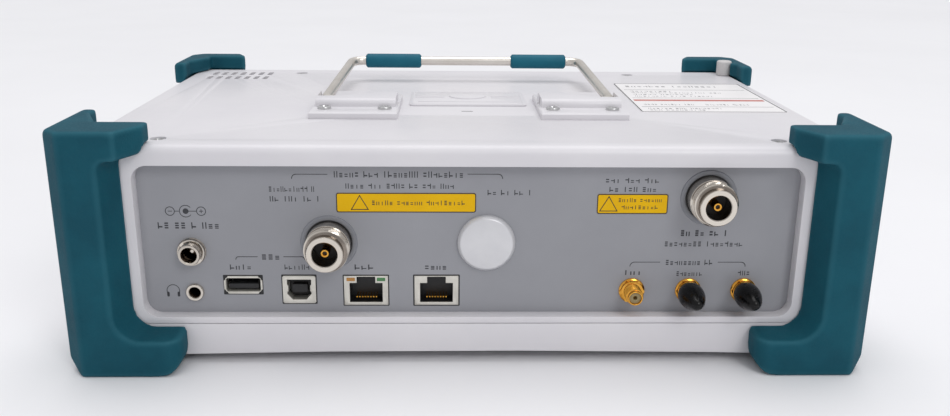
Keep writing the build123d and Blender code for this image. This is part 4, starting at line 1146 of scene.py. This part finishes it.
def printed_text(words, size, at, name, body, ink):
    """Printed digits or a sign on a key, in the typeface that is built in."""
    curve = bpy.data.curves.new(name, "FONT")
    curve.body = words
    curve.size = size * MM
    curve.extrude = INK_RISE * MM
    curve.align_x, curve.align_y = "CENTER", "CENTER"
    curve.resolution_u = 3
    obj = bpy.data.objects.new(name, curve)
    scene.collection.objects.link(obj)
    bpy.context.view_layer.update()
    mesh = bpy.data.meshes.new_from_object(obj.evaluated_get(bpy.context.evaluated_depsgraph_get()))
    bpy.data.objects.remove(obj)
    shape = bmesh.new()
    shape.from_mesh(mesh)
    bmesh.ops.remove_doubles(shape, verts=shape.verts[:], dist=0.0005 * MM)
    for vertex in shape.verts:
        u, v, w = (length / MM for length in vertex.co)
        vertex.co = on_face(u + at[0], v + at[1], w + KEY_RISE + INK_RISE)
    shaped(name, shape, [ink], body, slot=SLOT_OF[body])


KEY_SIGNS = {"0": "0", "point": ".", "sign": "+/-"}
KEY_SIGNS.update({str(digit): str(digit) for digit in range(1, 10)})
KEY_ORDER = ("0", "point", "sign", "1", "2", "3", "4", "5", "6", "7", "8", "9")
for index, key in enumerate(KEY_ORDER):
    softened("key_" + key, 0.5, segments=3)
    spot = (82.0 + index % 3 * 20.0, -30.0 + index // 3 * 16.0)
    printed_text(KEY_SIGNS[key], 4.2 if key == "sign" else 6.4, spot, "digit_" + key, "key_" + key, "ink")
for index in range(1, 6):
    softened(f"soft_key_{index}", 0.5, segments=3)
softened("power_button", 0.6, segments=3)
symbol = bmesh.new()
for path in (arc((84.0, -56.0), 2.2, 125, 415, 18), [(84.0, -56.2), (84.0, -53.2)]):
    ribbon(symbol, on_face, path, 0.45, KEY_RISE, KEY_RISE + INK_RISE)
shaped("power_symbol", symbol, ["label_film"], "power_button", slot="power_plastic")
softened("display_window", 0.35, segments=3)


def rotary_knob(at, rib_count):
    """A silicone-skinned disc with an off-centre finger dimple and a ribbed rim."""
    skirt, rib = bmesh.new(), bmesh.new()
    dimple = (at[0] + 8.6, at[1])
    disc = [
        (3.0, -5.6), (3.0, 0.3), (14.0, 0.3), (14.3, 0.6), (14.3, 4.4), (14.0, 5.0), (13.4, 5.5), (12.6, 5.7)
    ]
    hollow = [(3.3, 5.7), (3.1, 5.45), (2.5, 5.05), (1.6, 4.8), (0.6, 4.7)]
    levels = [(circle(radius, at, 64), height) for radius, height in disc]
    levels += [(circle(radius, dimple, 64), height) for radius, height in hollow]
    stack(skirt, on_face, levels)
    name, skin_key = "rotary_knob", "knob_rubber"
    shaped(name + "_body", skirt, [skin_key], name, slot=skin_key, replaces=[name], sharp=60.0)
    middle = rounded(1.3, 0.9, 0.3, (14.35, 0), 3)
    foot, tip = rounded(0.9, 0.7, 0.2, (14.35, 0), 3), rounded(0.8, 0.6, 0.2, (14.2, 0), 3)
    stack(rib, flat, [(foot, -1.0), (middle, -1.4), (middle, -4.2), (tip, -4.9)])
    spots = [(at[0], -at[1], FACE_Z, (0, 0, 360.0 / rib_count * k)) for k in range(rib_count)]
    copies(name + "_ribs", rib, spots, skin_key, name, slot=skin_key, sharp=50.0)


rotary_knob((102.0, 52.0), 40)


# ---------------------------------------------------------------- speaker, fan and the inner modules
SPEAKER = (112.0, -60.0)
FAN = (-113.5, 69.0)

cone = bmesh.new()
profile = [(0, -7.6), (9.0, -7.6), (9.5, -5.8), (13.6, -4.4), (14.0, -4.0), (14.0, -2.9), (13.4, -2.6)]
profile += [(12.6, -2.65), (11.8, -2.9), (10.6, -3.1), (4.2, -5.2), (3.2, -4.6), (1.6, -4.2), (0, -4.1)]
lathe(cone, SPEAKER, profile, place=on_face)
shaped(
    "speaker_cone", cone, ["black_plastic"], "case", slot="black_plastic", replaces=["speaker"], sharp=50.0
)

softened("fan_frame", 0.2)


def fan_rotor(at, blade_count):
    """The fan's hub and its blades, which lean less and sweep further forward towards their tips."""
    hub, blade = bmesh.new(), bmesh.new()
    profile = [
        (0, -8.8), (6.2, -8.8), (6.5, -8.5), (6.5, -3.5), (6.1, -3.1), (3.2, -3.1), (3.0, -3.25), (0, -3.25)
    ]
    lathe(hub, at, profile, segments=48, place=on_top)
    shaped("fan_rotor_hub", hub, ["black_plastic"], "fan_rotor", slot="black_plastic", replaces=["fan_rotor"])
    edge = ((-1, -0.5), (-0.3, -1), (0.5, -1), (1, -0.5), (1, 0.5), (0.5, 1), (-0.3, 1), (-1, 0.5))
    sections = []
    for radius, lean in ((6.0, 42.0), (8.5, 36.0), (11.0, 30.0), (12.9, 26.0)):
        tilt = math.radians(lean)
        across = Vector((-math.sin(0.06 * (radius - 6.0)) * 0.4, math.cos(tilt), math.sin(tilt)))
        thick = Vector((0, -math.sin(tilt), math.cos(tilt)))
        middle = Vector((radius, 0.10 * (radius - 6.0) ** 1.5, 0))
        half = min(2.4, 1.9 / math.sin(tilt) - 0.6)
        sections.append(
            [blade.verts.new((middle + across * half * i + thick * j * 0.3) * MM) for i, j in edge]
        )
    for near, far in zip(sections, sections[1:]):
        wall(blade, near, far)
    blade.faces.new(sections[0])
    blade.faces.new(sections[-1])
    spots = [(at[0], at[1], CASE_TOP - 5.95, (0, 0, 360.0 / blade_count * k)) for k in range(blade_count)]
    copies("fan_rotor_blades", blade, spots, "black_plastic", "fan_rotor", slot="black_plastic", sharp=50.0)


fan_rotor(FAN, 7)

softened("battery_pack", 0.8, segments=3)
softened("battery_tray", 0.3)
softened("rf_module_box", 0.4)
softened("rf_module_lid", 0.4)
softened("display_module", 0.4)


# ---------------------------------------------------------------- carried over CAD nodes
for node, obj in cad.items():
    obj.data.materials.clear()
    obj.data.materials.append(finish[SLOT_OF[node]])


# ---------------------------------------------------------------- floor, light and camera
def studio():
    floor_mesh = bpy.data.meshes.new("studio_floor")
    shape = bmesh.new()
    bmesh.ops.create_grid(shape, x_segments=1, y_segments=1, size=6.0)
    shape.to_mesh(floor_mesh)
    shape.free()
    floor = bpy.data.objects.new("studio_floor", floor_mesh)
    scene.collection.objects.link(floor)
    floor_mesh.materials.append(skin("white_sweep_paper", "#EDEDEF", "#EAEAEC", 2.0, 0.01, 0.55, patch=300.0))

    world = bpy.data.worlds.new("studio_air")
    world.use_nodes = True
    tree = world.node_tree
    tree.nodes.clear()
    air = add_node(tree, "ShaderNodeBackground", {"Color": linear("#F1F1F4"), "Strength": 0.7})
    add_node(tree, "ShaderNodeOutputWorld", {"Surface": air})
    scene.world = world

    for name, kind, place, target, size, power in (
        ("overhead_sheet", "SUN", (0.0, 0.35, 2.0), (0, 0, 0), 50.0, 1.28),
        ("key_softbox", "AREA", (0.6, -1.15, 1.05), (0.05, 0, 0.05), 0.6, 5.5),
    ):
        light = bpy.data.lights.new(name, kind)
        light.energy = power
        if kind == "SUN":
            light.angle = math.radians(size)
        else:
            light.shape = "DISK"
            light.size = size
        lamp = bpy.data.objects.new(name, light)
        lamp.location = place
        lamp.rotation_mode = "QUATERNION"
        lamp.rotation_quaternion = (Vector(target) - Vector(place)).to_track_quat("-Z", "Y")
        scene.collection.objects.link(lamp)


def camera():
    """The viewpoint: just left of the middle, some 17 degrees above the bench, rolled by half a degree."""
    yaw, drop, roll = math.radians(1.55), math.radians(16.91), math.radians(0.57)
    ahead = Vector((math.sin(yaw) * math.cos(drop), math.cos(yaw) * math.cos(drop), -math.sin(drop)))
    across = Vector((math.cos(yaw), -math.sin(yaw), 0))
    upward = across.cross(ahead)
    right = math.cos(roll) * across + math.sin(roll) * upward
    up = -math.sin(roll) * across + math.cos(roll) * upward
    lens = bpy.data.cameras.new("camera")
    lens.sensor_width = 36.0
    lens.lens = 35.16
    lens.clip_start, lens.clip_end = 0.01, 20.0
    eye = bpy.data.objects.new("camera", lens)
    turn = Matrix((right, up, -ahead)).transposed().to_4x4()
    eye.matrix_world = Matrix.Translation(Vector((-7.2, -401.8, 156.0)) * MM) @ turn
    scene.collection.objects.link(eye)
    scene.camera = eye


studio()
camera()
scene.view_settings.view_transform = "Standard"
